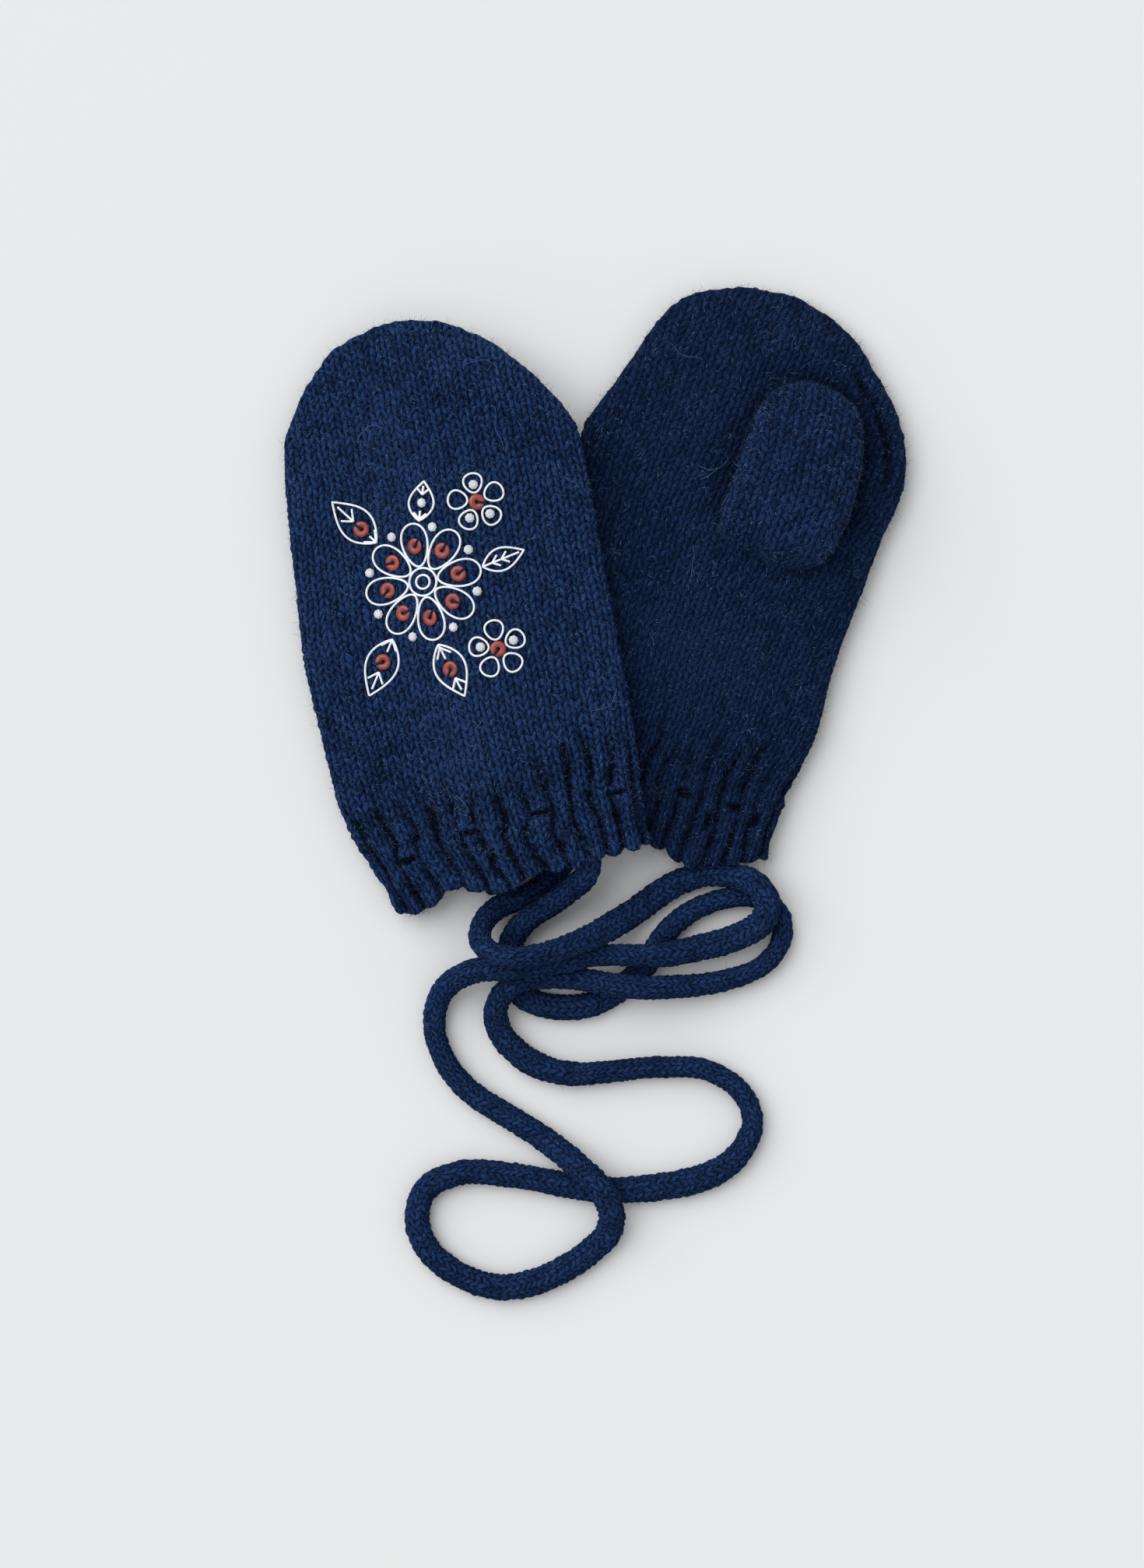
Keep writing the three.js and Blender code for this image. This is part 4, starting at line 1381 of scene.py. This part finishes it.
def edge_groove(pouch, x, y):
    """The groove inside the right hand's folded thumb-side edge, and the roll beside it."""
    from_rim = pouch.inside(x, y)
    groove, roll = (
        bell((from_rim - fold["inside"]) / fold["half_width"]) for fold in (EDGE_GROOVE, EDGE_ROLL))
    low, high, across = (EDGE_GROOVE[name] for name in ("low", "high", "across"))
    shown = ease(*low, y) * (1 - ease(*high, y)) * ease(*across, x)
    return (EDGE_GROOVE["depth"] * groove - EDGE_ROLL["rise"] * roll) * shown


def thumb_hollow(x, y):
    """The hollow around the right thumb."""
    size = THUMB_HOLLOW
    to_left = 1 - ease(size["left"], size["right"], x)
    reach = size["reach"] + (size["left_reach"] - size["reach"]) * to_left
    shown = ease(size["low"], size["high"], y) * (1 - (1 - size["left_share"]) * to_left)
    return size["depth"] * bell(RIGHT_THUMB.inside(x, y) / reach) * shown


def finish_knit(shell, lining, name, place, tone, knit):
    """Lines a shell and makes its piece, over the node with its name."""
    shell.line_inside(*lining)
    piece = shell.skin.build(name + "_knit", place, [wool(knit, tone)])
    ride(piece, "navy_wool", name)


def make_cuff(mitten, knit):
    seed = mitten.seed
    wall = Wall(mitten.pouch, knit.hand_wales, CUFF_SPARSE)
    rows = round(CUFF_LENGTH / (knit.course / MM) * COURSE_ROWS)
    x, y = wall.body_rows(np.linspace(0, CUFF_LENGTH, rows + 1))

    def shape(x, y, z):
        wale = np.linspace(0, knit.hand_wales, x.shape[1])[None, :] + EDGE_WALE
        own = SCALLOP + mixed(SCALLOP_OWN, wale, y * 0, seed)
        scallop = own * (0.5 - ribs(wale)) * (1 - ease(0, SCALLOP_REACH, y))
        return stack(x, y + hem_rise(mitten.hem, x, y) + scallop, z)

    def relief(x, y, wale, course, upper):
        height = rib_height(x, y, wale, knit, seed) + knobs(x, y, wale, seed)
        if upper:
            height = with_slits(mitten.slits, height, x, y)
        standing = 1 - VALLEY_STITCH * (1 - ribs(wale))
        return height + standing * knit_height(wale, course, knit, mitten.tone, seed)

    shell = Shell(wall, x, y, None, shape, relief, knit.course / MM, seed)
    finish_knit(shell, CUFF_LINING, mitten.name + "_cuff", mitten.place, mitten.tone, knit)


def make_hand(mitten, knit):
    pouch, seed = mitten.pouch, mitten.seed
    trimmed = pouch is LEFT_POUCH
    wall = Wall(pouch, knit.hand_wales, HAND_SPARSE)
    spacing = knit.course / MM / COURSE_ROWS
    x, y, fan_row = pouch_grid(wall, CUFF_LENGTH, spacing, HAND_TIP_ROWS)

    def relief(x, y, wale, course, upper):
        height = rib_height(x, y, wale, knit, seed)
        loose = mixed(DENTS, x, y, seed)
        if trimmed:
            away = np.hypot(x - TRIM_CENTRE[0], y - TRIM_CENTRE[1])
            loose = loose * ease(TRIM_REACH, TRIM_REACH + TRIM_MARGIN, away)
        if not upper:
            return height + LOWER_DENTS * loose
        loose = loose * pouch.bulge(x, y)
        if not trimmed:
            loose = loose - edge_groove(pouch, x, y) - thumb_hollow(x, y)
        return height + loose + knit_height(wale, course, knit, mitten.tone, seed)

    shell = Shell(wall, x, y, fan_row, stack, relief, knit.course / MM, seed)
    finish_knit(shell, HAND_LINING, mitten.name + "_hand", mitten.place, mitten.tone, knit)


def make_thumb(thumb, knit):
    """A thumb's pouch, whose root turns down into the palm."""
    pouch = thumb.pouch
    wall = Wall(pouch, knit.thumb_wales, THUMB_SPARSE)
    spacing = knit.course / MM / COURSE_ROWS
    start, pivot = pouch.outline["y"][0], pouch.outline["y"][ROOT_END]
    x, y, fan_row = pouch_grid(wall, start, spacing, THUMB_TIP_ROWS)

    def shape(x, y, z):
        turn = np.clip((y - start) / (pivot - start), 0, 1) * math.pi / 2
        middle = (pouch.side("left", y) + pouch.side("right", y)) / 2
        reach = THUMB_BEND + z
        flat = np.cos(turn)
        along = np.maximum(y, pivot) - reach * flat + THUMB_SLANT * (x - middle) * flat
        height = reach * np.sin(turn) - ROOT_SUNK * flat ** 2
        return stack(x, along, thumb.palm + thumb.direction * (GAP + height))

    def relief(x, y, wale, course, upper):
        loose = THUMB_DENTS * mixed(DENTS, x, y, thumb.seed) * pouch.bulge(x, y)
        return loose + knit_height(wale, course, knit, THUMB_TONE, thumb.seed)

    mirrored = thumb.direction < 0
    shell = Shell(wall, x, y, fan_row, shape, relief, knit.course / MM, thumb.seed, mirrored)
    finish_knit(shell, THUMB_LINING, thumb.name, thumb.place, THUMB_TONE, knit)


class MITTENS_OT_cuffs(bpy.types.Operator):
    """Knits the two ribbed cuffs with their wavy hems"""
    bl_idname = "mittens.cuffs"
    bl_label = "Cuffs"

    def execute(self, context):
        for mitten in MITTENS:
            make_cuff(mitten, context.scene.mitten_knit)
        return {"FINISHED"}


class MITTENS_OT_hands(bpy.types.Operator):
    """Knits the two hands in plain stitches"""
    bl_idname = "mittens.hands"
    bl_label = "Hands"

    def execute(self, context):
        for mitten in MITTENS:
            make_hand(mitten, context.scene.mitten_knit)
        return {"FINISHED"}


class MITTENS_OT_thumbs(bpy.types.Operator):
    """Knits the right thumb on its palm and the left one beneath its palm"""
    bl_idname = "mittens.thumbs"
    bl_label = "Thumbs"

    def execute(self, context):
        for thumb in THUMBS:
            make_thumb(thumb, context.scene.mitten_knit)
        return {"FINISHED"}


# The trimming

# How far to either side a surface's slope is measured
SLOPE_STEP = 0.5

# A raised line: how far apart its points are, its fewest stretches, its section as shares of
# half its width and of its height, and how far above the knit it is laid
LINE_SPACING = 0.45
LINE_LEAST = 4
LINE_SECTION = ((-1, -1.6), (-0.85, 0.5), (0, 1), (0.85, 0.5), (1, -1.6), (-1, -1.6))
LINE_OFFSET = 0.25

# How many points a ring, a petal and a leaf's side have, how much broader a petal's outer end
# is, and the power that makes a leaf fullest a little below its middle
RING_POINTS = 33
PETAL_POINTS = 41
LEAF_POINTS = 21
PETAL_BROADER = 0.22
LEAF_FULLEST = 0.85

# A leaf's veins, as shares of its length and of half its width: where the midrib ends, how far
# before the bare stretch side veins start, how far up they run and how far out
RIB_END = 0.88
VEIN_BEFORE = 0.22
VEIN_UP = 0.16
VEIN_OUT = 0.5


def left_surface(x, y):
    """A point on the left hand's upper side with its upward direction, in that mitten's frame."""
    top, step = LEFT_POUCH.top, SLOPE_STEP
    dx = (top(x + step, y) - top(x - step, y)) / (2 * step)
    dy = (top(x, y + step) - top(x, y - step)) / (2 * step)
    return stack(x, y, top(x, y)), turned(stack(-dx, -dy, np.ones_like(dx)))


def ring(blossom, radius):
    turn = np.linspace(0, 2 * math.pi, RING_POINTS)
    return np.stack([blossom["x"] + radius * np.cos(turn), blossom["y"] + radius * np.sin(turn)], 1)


def petal(blossom, number):
    """A rounded petal that is broader at its outer end."""
    aim = 2 * math.pi * number / blossom["petals"] + math.pi / 2
    turn = np.linspace(0, 2 * math.pi, PETAL_POINTS)
    out = blossom["middle"] + blossom["half_length"] * np.cos(turn)
    across = blossom["half_width"] * np.sin(turn) * (1 + PETAL_BROADER * np.cos(turn))
    x = blossom["x"] + out * math.cos(aim) - across * math.sin(aim)
    y = blossom["y"] + out * math.sin(aim) + across * math.cos(aim)
    return np.stack([x, y], 1)


def leaf(base, tip, half_width, bare):
    """A pointed leaf's outline, with its midrib and side veins outside a bare stretch."""
    base, tip = np.array(base), np.array(tip)
    along = tip - base
    across = turned(np.array([-along[1], along[0]]))
    share = np.linspace(0, 1, LEAF_POINTS)[:, None]
    edge = half_width * np.sin(math.pi * share ** LEAF_FULLEST) * across
    sides = [base + along * share + edge * side for side in (1, -1)]
    low, high = bare
    lines = [np.vstack([sides[0], sides[1][::-1]])]
    lines += [np.stack([base + along * a, base + along * b]) for a, b in ((0, low), (high, RIB_END))]
    for start in (max(0, low - VEIN_BEFORE), high):
        for side in (1, -1):
            end = base + along * (start + VEIN_UP) + across * side * half_width * VEIN_OUT
            lines.append(np.stack([base + along * start, end]))
    return lines


def drawing():
    """Every raised line of the trimming, around its middle."""
    lines = []
    for blossom in BLOSSOMS:
        lines += [ring(blossom, radius) for radius in blossom["rings"]]
        lines += [petal(blossom, number) for number in range(blossom["petals"])]
    for values in LEAVES:
        lines += leaf(*values)
    return lines


def raised_line(skin, points, width, height):
    """One half-round line laid on the left hand."""
    length = distances(points)
    at = np.linspace(0, length[-1], max(LINE_LEAST, round(length[-1] / LINE_SPACING)) + 1)
    x, y = (np.interp(at, length, points[:, i]) + TRIM_CENTRE[i] for i in range(2))
    place, up = left_surface(x, y)
    closed = np.allclose(points[0], points[-1])
    ahead = np.gradient(place, axis=0)
    if closed:
        ahead[0] = ahead[-1] = place[1] - place[-2]
    side = turned(np.cross(ahead, up))
    grid = np.stack([
        place + side * (width / 2 * across) + up * (height * rise + LINE_OFFSET)
        for across, rise in LINE_SECTION
    ], 1)
    numbers = skin.tube(grid, ring=closed)
    if not closed:
        skin.cap(numbers, grid[:, :-1].mean(1), np.zeros((*numbers.shape, 2)))


class MITTENS_OT_lines(bpy.types.Operator):
    """Lays the raised white lines of the trimming on the left hand"""
    bl_idname = "mittens.lines"
    bl_label = "Raised lines"

    def execute(self, context):
        trim = context.scene.mitten_trim
        skin = Skin()
        for points in drawing():
            raised_line(skin, points, trim.line_width / MM, trim.line_height / MM)
        white = shared("raised_white", line_material, trim.white)
        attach(skin.build("raised_lines", LEFT_PLACE, [white]), "root")
        return {"FINISHED"}


# A sequin: its bend lies at shares of its radius and of its cup's height
SEQUIN = {"radius": 2.5, "hole": 0.62, "thick": 0.22, "cup": 0.22, "sides": 36}
SEQUIN_BEND = (0.6, 0.4)
SEQUIN_SEED = 11

# The thread over a sequin: its section as shares of half its width and of its rise, how far it
# lies above the disc, and how far it dips into the hole and, near the rim, down its edge
THREAD = {"width": 0.85, "rise": 0.36, "past_rim": 0.3, "points": 9}
THREAD_SECTION = ((-1, -0.3), (-0.7, 0.6), (0, 1), (0.7, 0.6), (1, -0.3), (-1, -0.3))
THREAD_ABOVE = 0.12
HOLE_DIP = 0.45
RIM_DIP = 0.5
RIM_NEAR = (-0.2, 0.3)
THREAD_SHADE = 0.6

# A stone: its rings' radii and heights, with its back a share of its radius and sunk in
STONE = {
    "radius": 1.55, "belt": 1.3, "table": 0.85, "girdle": 0.35, "crown": 0.82, "height": 1.15,
    "back": 0.9, "sunk": -0.2,
}
STONE_SIDES = 8
STONE_SEED = 12


def node_middle(node):
    """The middle of a framed node, in the left mitten's frame."""
    low, high = (np.array(corner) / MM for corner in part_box(node))
    return (LEFT_PLACE.turn @ ((low + high) / 2 - LEFT_PLACE.shift))


def lay_flat(points, middle):
    """Sets small points around the origin on the left hand at a middle, tilted as the knit is."""
    place, up = left_surface(middle[:1], middle[1:2])
    across = turned(np.cross(np.array([0.0, 1.0, 0.0]), up[0]))
    return place[0] + points @ np.stack([across, np.cross(up[0], across), up[0]])


def sequin_points(angle):
    """A cupped disc with a hole, and the thread that holds it from its hole over its rim."""
    radius, hole, thick, cup = (SEQUIN[name] for name in ("radius", "hole", "thick", "cup"))
    bend, bend_rise = radius * SEQUIN_BEND[0], cup * SEQUIN_BEND[1]
    turn = np.linspace(0, 2 * math.pi, SEQUIN["sides"] + 1)[:, None]
    profile = np.array([
        (hole, 0), (bend, bend_rise), (radius, cup), (radius, cup + thick),
        (bend, bend_rise + thick), (hole, thick), (hole, 0),
    ])
    out, rise = profile[None, :, 0], profile[None, :, 1]
    disc = stack(out * np.cos(turn), out * np.sin(turn), rise + 0 * turn)
    run = np.linspace(0, radius + THREAD["past_rim"], THREAD["points"])
    down = RIM_DIP * ease(radius + RIM_NEAR[0], radius + RIM_NEAR[1], run)
    arch = thick + THREAD_ABOVE + cup * run / radius - down
    arch = arch - HOLE_DIP * (1 - ease(0, hole, run))
    half, high = THREAD["width"] / 2, THREAD["rise"]
    thread = np.stack([
        stack(run, run * 0 + across * half, arch + high * rise) for across, rise in THREAD_SECTION
    ], 1)
    return disc, thread @ spin(angle)


def trimming_nodes(kind, seed, most):
    """The frame's nodes of one kind, each with a random turn of its own."""
    nodes = sorted(name for name in frame["nodes"] if name.startswith(kind))
    return zip(nodes, np.random.default_rng(seed).uniform(0, most, len(nodes)))


class MITTENS_OT_sequins(bpy.types.Operator):
    """Sews the red sequins on, each with a navy thread from its hole over its rim"""
    bl_idname = "mittens.sequins"
    bl_label = "Sequins"

    def execute(self, context):
        wool_colour = context.scene.mitten_knit.wool
        red = shared("sequin_red", sequin_material, context.scene.mitten_trim.red)
        navy = shared("navy_thread", fibre_material, shade(wool_colour, THREAD_SHADE), wool_colour)
        for node, angle in trimming_nodes("sequin", SEQUIN_SEED, 2 * math.pi):
            disc, thread = (lay_flat(points, node_middle(node)) for points in sequin_points(angle))
            skin = Skin()
            skin.tube(disc, ring=True, flip=True)
            of_disc = len(skin.faces)
            skin.tube(thread)
            slots = np.repeat([0, 1], [of_disc, len(skin.faces) - of_disc])
            points = LEFT_PLACE.world(skin.points)
            piece = mesh_object(node + "_disc", points, skin.faces, [red, navy], slots=slots)
            ride(piece, "red_sequin", node)
        return {"FINISHED"}


def stone_parts():
    """A cut stone's points and triangles: a table, its stars, its kites and a belt."""
    step = 2 * math.pi / STONE_SIDES
    points = [(0.0, 0.0, STONE["height"])]
    for radius, rise, offset in (
        (STONE["table"], STONE["height"], 0.5), (STONE["belt"], STONE["crown"], 0.0),
        (STONE["radius"], STONE["girdle"], 0.5),
        (STONE["radius"] * STONE["back"], STONE["sunk"], 0.5),
    ):
        angles = (np.arange(STONE_SIDES) + offset) * step
        points += [(radius * math.cos(a), radius * math.sin(a), rise) for a in angles]
    table, crown, girdle, back = (1 + STONE_SIDES * level for level in range(4))
    faces = []
    for k in range(STONE_SIDES):
        after = (k + 1) % STONE_SIDES
        faces += [
            (0, table + k, table + after),
            (table + k, crown + after, table + after),
            (crown + k, girdle + k, table + k),
            (table + k, girdle + k, crown + after),
            (girdle + k, back + k, back + after),
            (girdle + k, back + after, girdle + after),
            (crown + after, girdle + k, girdle + after),
        ]
    return np.array(points), np.array(faces)


class MITTENS_OT_stones(bpy.types.Operator):
    """Sets the small clear stones around the blossoms"""
    bl_idname = "mittens.stones"
    bl_label = "Stones"

    def execute(self, context):
        clear = shared("clear_stone", stone_material, context.scene.mitten_trim.clear)
        points, faces = stone_parts()
        for node, angle in trimming_nodes("rhinestone", STONE_SEED, math.pi / 4):
            laid = LEFT_PLACE.world(lay_flat(points @ spin(angle), node_middle(node)))
            piece = mesh_object(node + "_cut", laid, faces, [clear], flat=True)
            ride(piece, "clear_stone", node)
        return {"FINISHED"}


# Loose fibres

# The pieces of loose fibres: the wool that each stands on, and two shares of the usual number,
# one of the loose fibres there and one of the pale flecks
FIBRE_PIECES = (
    ("left_fibres", ("left_hand_knit", "left_cuff_knit"), 1.0, 0.8),
    ("right_fibres", ("right_hand_knit", "right_cuff_knit"), 1.0, 0.3),
    ("thumb_fibres", ("right_thumb_knit",), 0.2, 0.12),
    ("cord_fibres", ("cord_knit",), 0.75, 0.45),
)

# How fibres lie: the range of their lengths, how far above the wool they start, and the ranges
# of their lift off it and of their bend. A loose fibre's range is in usual lengths.
LOOSE = {"span": (0.5, 1.5), "raised": 0.0, "lift": (0.15, 0.9), "bend": (0.1, 0.7)}
FLECK = {"span": (0.6, 1.7), "raised": 0.12, "lift": (0, 0.08), "bend": (0, 0.3)}
FLECK_WIDTH = 0.13

# A fibre's points along it, how much narrower its end is, how much it twists, and how low it may
# reach
FIBRE_JOINTS = 4
FIBRE_TAPER = 0.75
FIBRE_TWIST = 0.3
FIBRE_FLOOR = 0.05

# How much closer together fibres stand on the sides than on top, and how far down a face may
# look and how small it may be to have any
EDGE_FIBRES = 9.0
FACES_DOWN = -0.3
SMALLEST_FACE = 1e-9
FIBRE_SEED = 5

# The loose fibres' colour as a share of the wool's, and the brighter places of the pale ones as
# a share of their own
LOOSE_SHADE = 1.6
FLECK_SHADE = 1.7


def surface_samples(names, count, rng):
    """Random places on meshes, with their outward directions, in millimetres."""
    corners = []
    for name in names:
        mesh = bpy.data.objects[name].data
        points = np.empty(len(mesh.vertices) * 3, np.float32)
        mesh.vertices.foreach_get("co", points)
        faces = np.empty(len(mesh.loops), np.int32)
        mesh.loops.foreach_get("vertex_index", faces)
        corners.append(points.reshape(-1, 3)[faces.reshape(-1, 3)] / MM)
    corners = np.vstack(corners).astype(float)
    across = np.cross(corners[:, 1] - corners[:, 0], corners[:, 2] - corners[:, 0])
    area = np.linalg.norm(across, axis=1)
    open_air = (across[:, 2] > FACES_DOWN * area) & (area > SMALLEST_FACE)
    weight = np.where(open_air, EDGE_FIBRES * area - (EDGE_FIBRES - 1) * np.abs(across[:, 2]), 0)
    picked = rng.choice(len(area), count, p=weight / weight.sum())
    share = rng.dirichlet((1, 1, 1), count)
    places = (corners[picked] * share[..., None]).sum(1)
    return places, across[picked] / area[picked][:, None]


def add_fibres(skin, places, normals, lengths, width, lie, rng):
    """Thin tapering ribbons that leave the surface and curl."""
    count = len(places)
    random = rng.normal(size=(count, 3))
    level = turned(random - (random * normals).sum(1, keepdims=True) * normals)
    start = turned(level + normals * rng.uniform(*lie["lift"], (count, 1)))
    curl = turned(rng.normal(size=(count, 3))) * rng.uniform(*lie["bend"], (count, 1))
    aside = turned(np.cross(start, normals + FIBRE_TWIST * rng.normal(size=(count, 3))))
    rows = []
    for t in np.linspace(0, 1, FIBRE_JOINTS):
        middle = places + lengths[:, None] * (start * t + curl * t * t)
        half = width / 2 * (1 - FIBRE_TAPER * t)
        rows.append(np.stack([middle - aside * half, middle + aside * half], 1))
    grid = np.stack(rows, 1)
    grid[..., 2] = np.maximum(grid[..., 2], FIBRE_FLOOR)
    numbers = skin.add(grid)
    low, high = numbers[:, :-1], numbers[:, 1:]
    faces = np.vstack([
        np.stack([low[..., 0], low[..., 1], high[..., 1]], -1).reshape(-1, 3),
        np.stack([low[..., 0], high[..., 1], high[..., 0]], -1).reshape(-1, 3),
    ])
    skin.add_faces(faces, np.zeros((len(faces), 3, 2)))


def scatter(skin, sources, count, length, width, lie, rng):
    """Fibres at random places on pieces of wool."""
    places, normals = surface_samples(sources, count, rng)
    lengths = length * rng.uniform(*lie["span"], count)
    add_fibres(skin, places + lie["raised"] * normals, normals, lengths, width, lie, rng)


# Long pale fibres that lie on the hands: how many each has, their points, width and rise, where
# across and along a hand they start, how long they are, how much they curve as a whole and from
# point to point, and how far up a hand they may reach
LONG_FIBRES = 8
LONG_JOINTS = 26
LONG_WIDTH = 0.085
LONG_RISE = 0.5
LONG_ACROSS = (0.12, 0.88)
LONG_ALONG = (18, 165)
LONG_LENGTH = (6, 20)
LONG_CURVE = 0.05
LONG_WAVER = 0.16
LONG_LIMIT = 175


def long_fibre(skin, pouch, place, rng):
    """One long fibre that lies in a loose curve on a hand."""
    share = rng.uniform(*LONG_ACROSS)
    y = rng.uniform(*LONG_ALONG)
    left, right = pouch.side("left", y), pouch.side("right", y)
    step = rng.uniform(*LONG_LENGTH) / LONG_JOINTS
    bend = rng.normal(0, LONG_CURVE) + rng.normal(0, LONG_WAVER, LONG_JOINTS)
    heading = rng.uniform(0, 2 * math.pi) + np.cumsum(bend)
    x = left + (right - left) * share + np.cumsum(np.cos(heading)) * step
    y = y + np.cumsum(np.sin(heading)) * step
    side = stack(-np.sin(heading), np.cos(heading), heading * 0) * LONG_WIDTH / 2
    middle = stack(x, y, pouch.top(x, y) + LONG_RISE)
    numbers = skin.add(place.world(np.stack([middle + side, middle - side], 1)))
    inside = (x > pouch.side("left", y)) & (x < pouch.side("right", y)) & (y < LONG_LIMIT)
    if inside.all():
        skin.cover(numbers, np.zeros((*numbers.shape, 2)))


class MITTENS_OT_fibres(bpy.types.Operator):
    """Raises short fibres all over the wool, and lays a few long pale ones on it"""
    bl_idname = "mittens.fibres"
    bl_label = "Loose fibres"

    def execute(self, context):
        fibres = context.scene.mitten_fibres
        knit = context.scene.mitten_knit
        navy = shared("wool_fibres", fibre_material, shade(knit.wool, LOOSE_SHADE), knit.pale)
        pale = shared("pale_fibres", fibre_material, knit.pale, shade(knit.pale, FLECK_SHADE))
        rng = np.random.default_rng(FIBRE_SEED)
        width, length = fibres.width / MM, fibres.length / MM
        for name, sources, share, _ in FIBRE_PIECES:
            skin = Skin()
            count = round(fibres.per_piece * share)
            scatter(skin, sources, count, length, width, LOOSE, rng)
            ride(skin.build(name, HERE, [navy]), "navy_wool")
        skin = Skin()
        for _, sources, _, share in FIBRE_PIECES:
            count = round(fibres.per_piece * share)
            scatter(skin, sources, count, 1, FLECK_WIDTH, FLECK, rng)
        ride(skin.build("pale_flecks", HERE, [pale]), "navy_wool")
        skin = Skin()
        for mitten in MITTENS:
            for _ in range(LONG_FIBRES):
                long_fibre(skin, mitten.pouch, mitten.place, rng)
        ride(skin.build("long_fibres", HERE, [pale]), "navy_wool")
        return {"FINISHED"}


OPERATORS = (
    MITTENS_OT_stage,
    MITTENS_OT_cord,
    MITTENS_OT_cuffs,
    MITTENS_OT_hands,
    MITTENS_OT_thumbs,
    MITTENS_OT_lines,
    MITTENS_OT_sequins,
    MITTENS_OT_stones,
    MITTENS_OT_fibres,
)


class MITTENS_PT_panel(bpy.types.Panel):
    """Lists the steps that make the mittens"""
    bl_idname = "MITTENS_PT_panel"
    bl_label = "Knitted mittens"
    bl_space_type = "VIEW_3D"
    bl_region_type = "UI"
    bl_category = "Mittens"

    def draw(self, context):
        for operator in OPERATORS:
            self.layout.operator(operator.bl_idname)


CLASSES = (*SETTINGS.values(), *OPERATORS, MITTENS_PT_panel)


def register():
    for item in CLASSES:
        bpy.utils.register_class(item)
    for name, group in SETTINGS.items():
        setattr(bpy.types.Scene, name, PointerProperty(type=group))


def unregister():
    for name in SETTINGS:
        delattr(bpy.types.Scene, name)
    for item in reversed(CLASSES):
        bpy.utils.unregister_class(item)


def main():
    register()
    for operator in OPERATORS:
        group, step = operator.bl_idname.split(".")
        getattr(getattr(bpy.ops, group), step)()


if __name__ == "__main__":
    main()
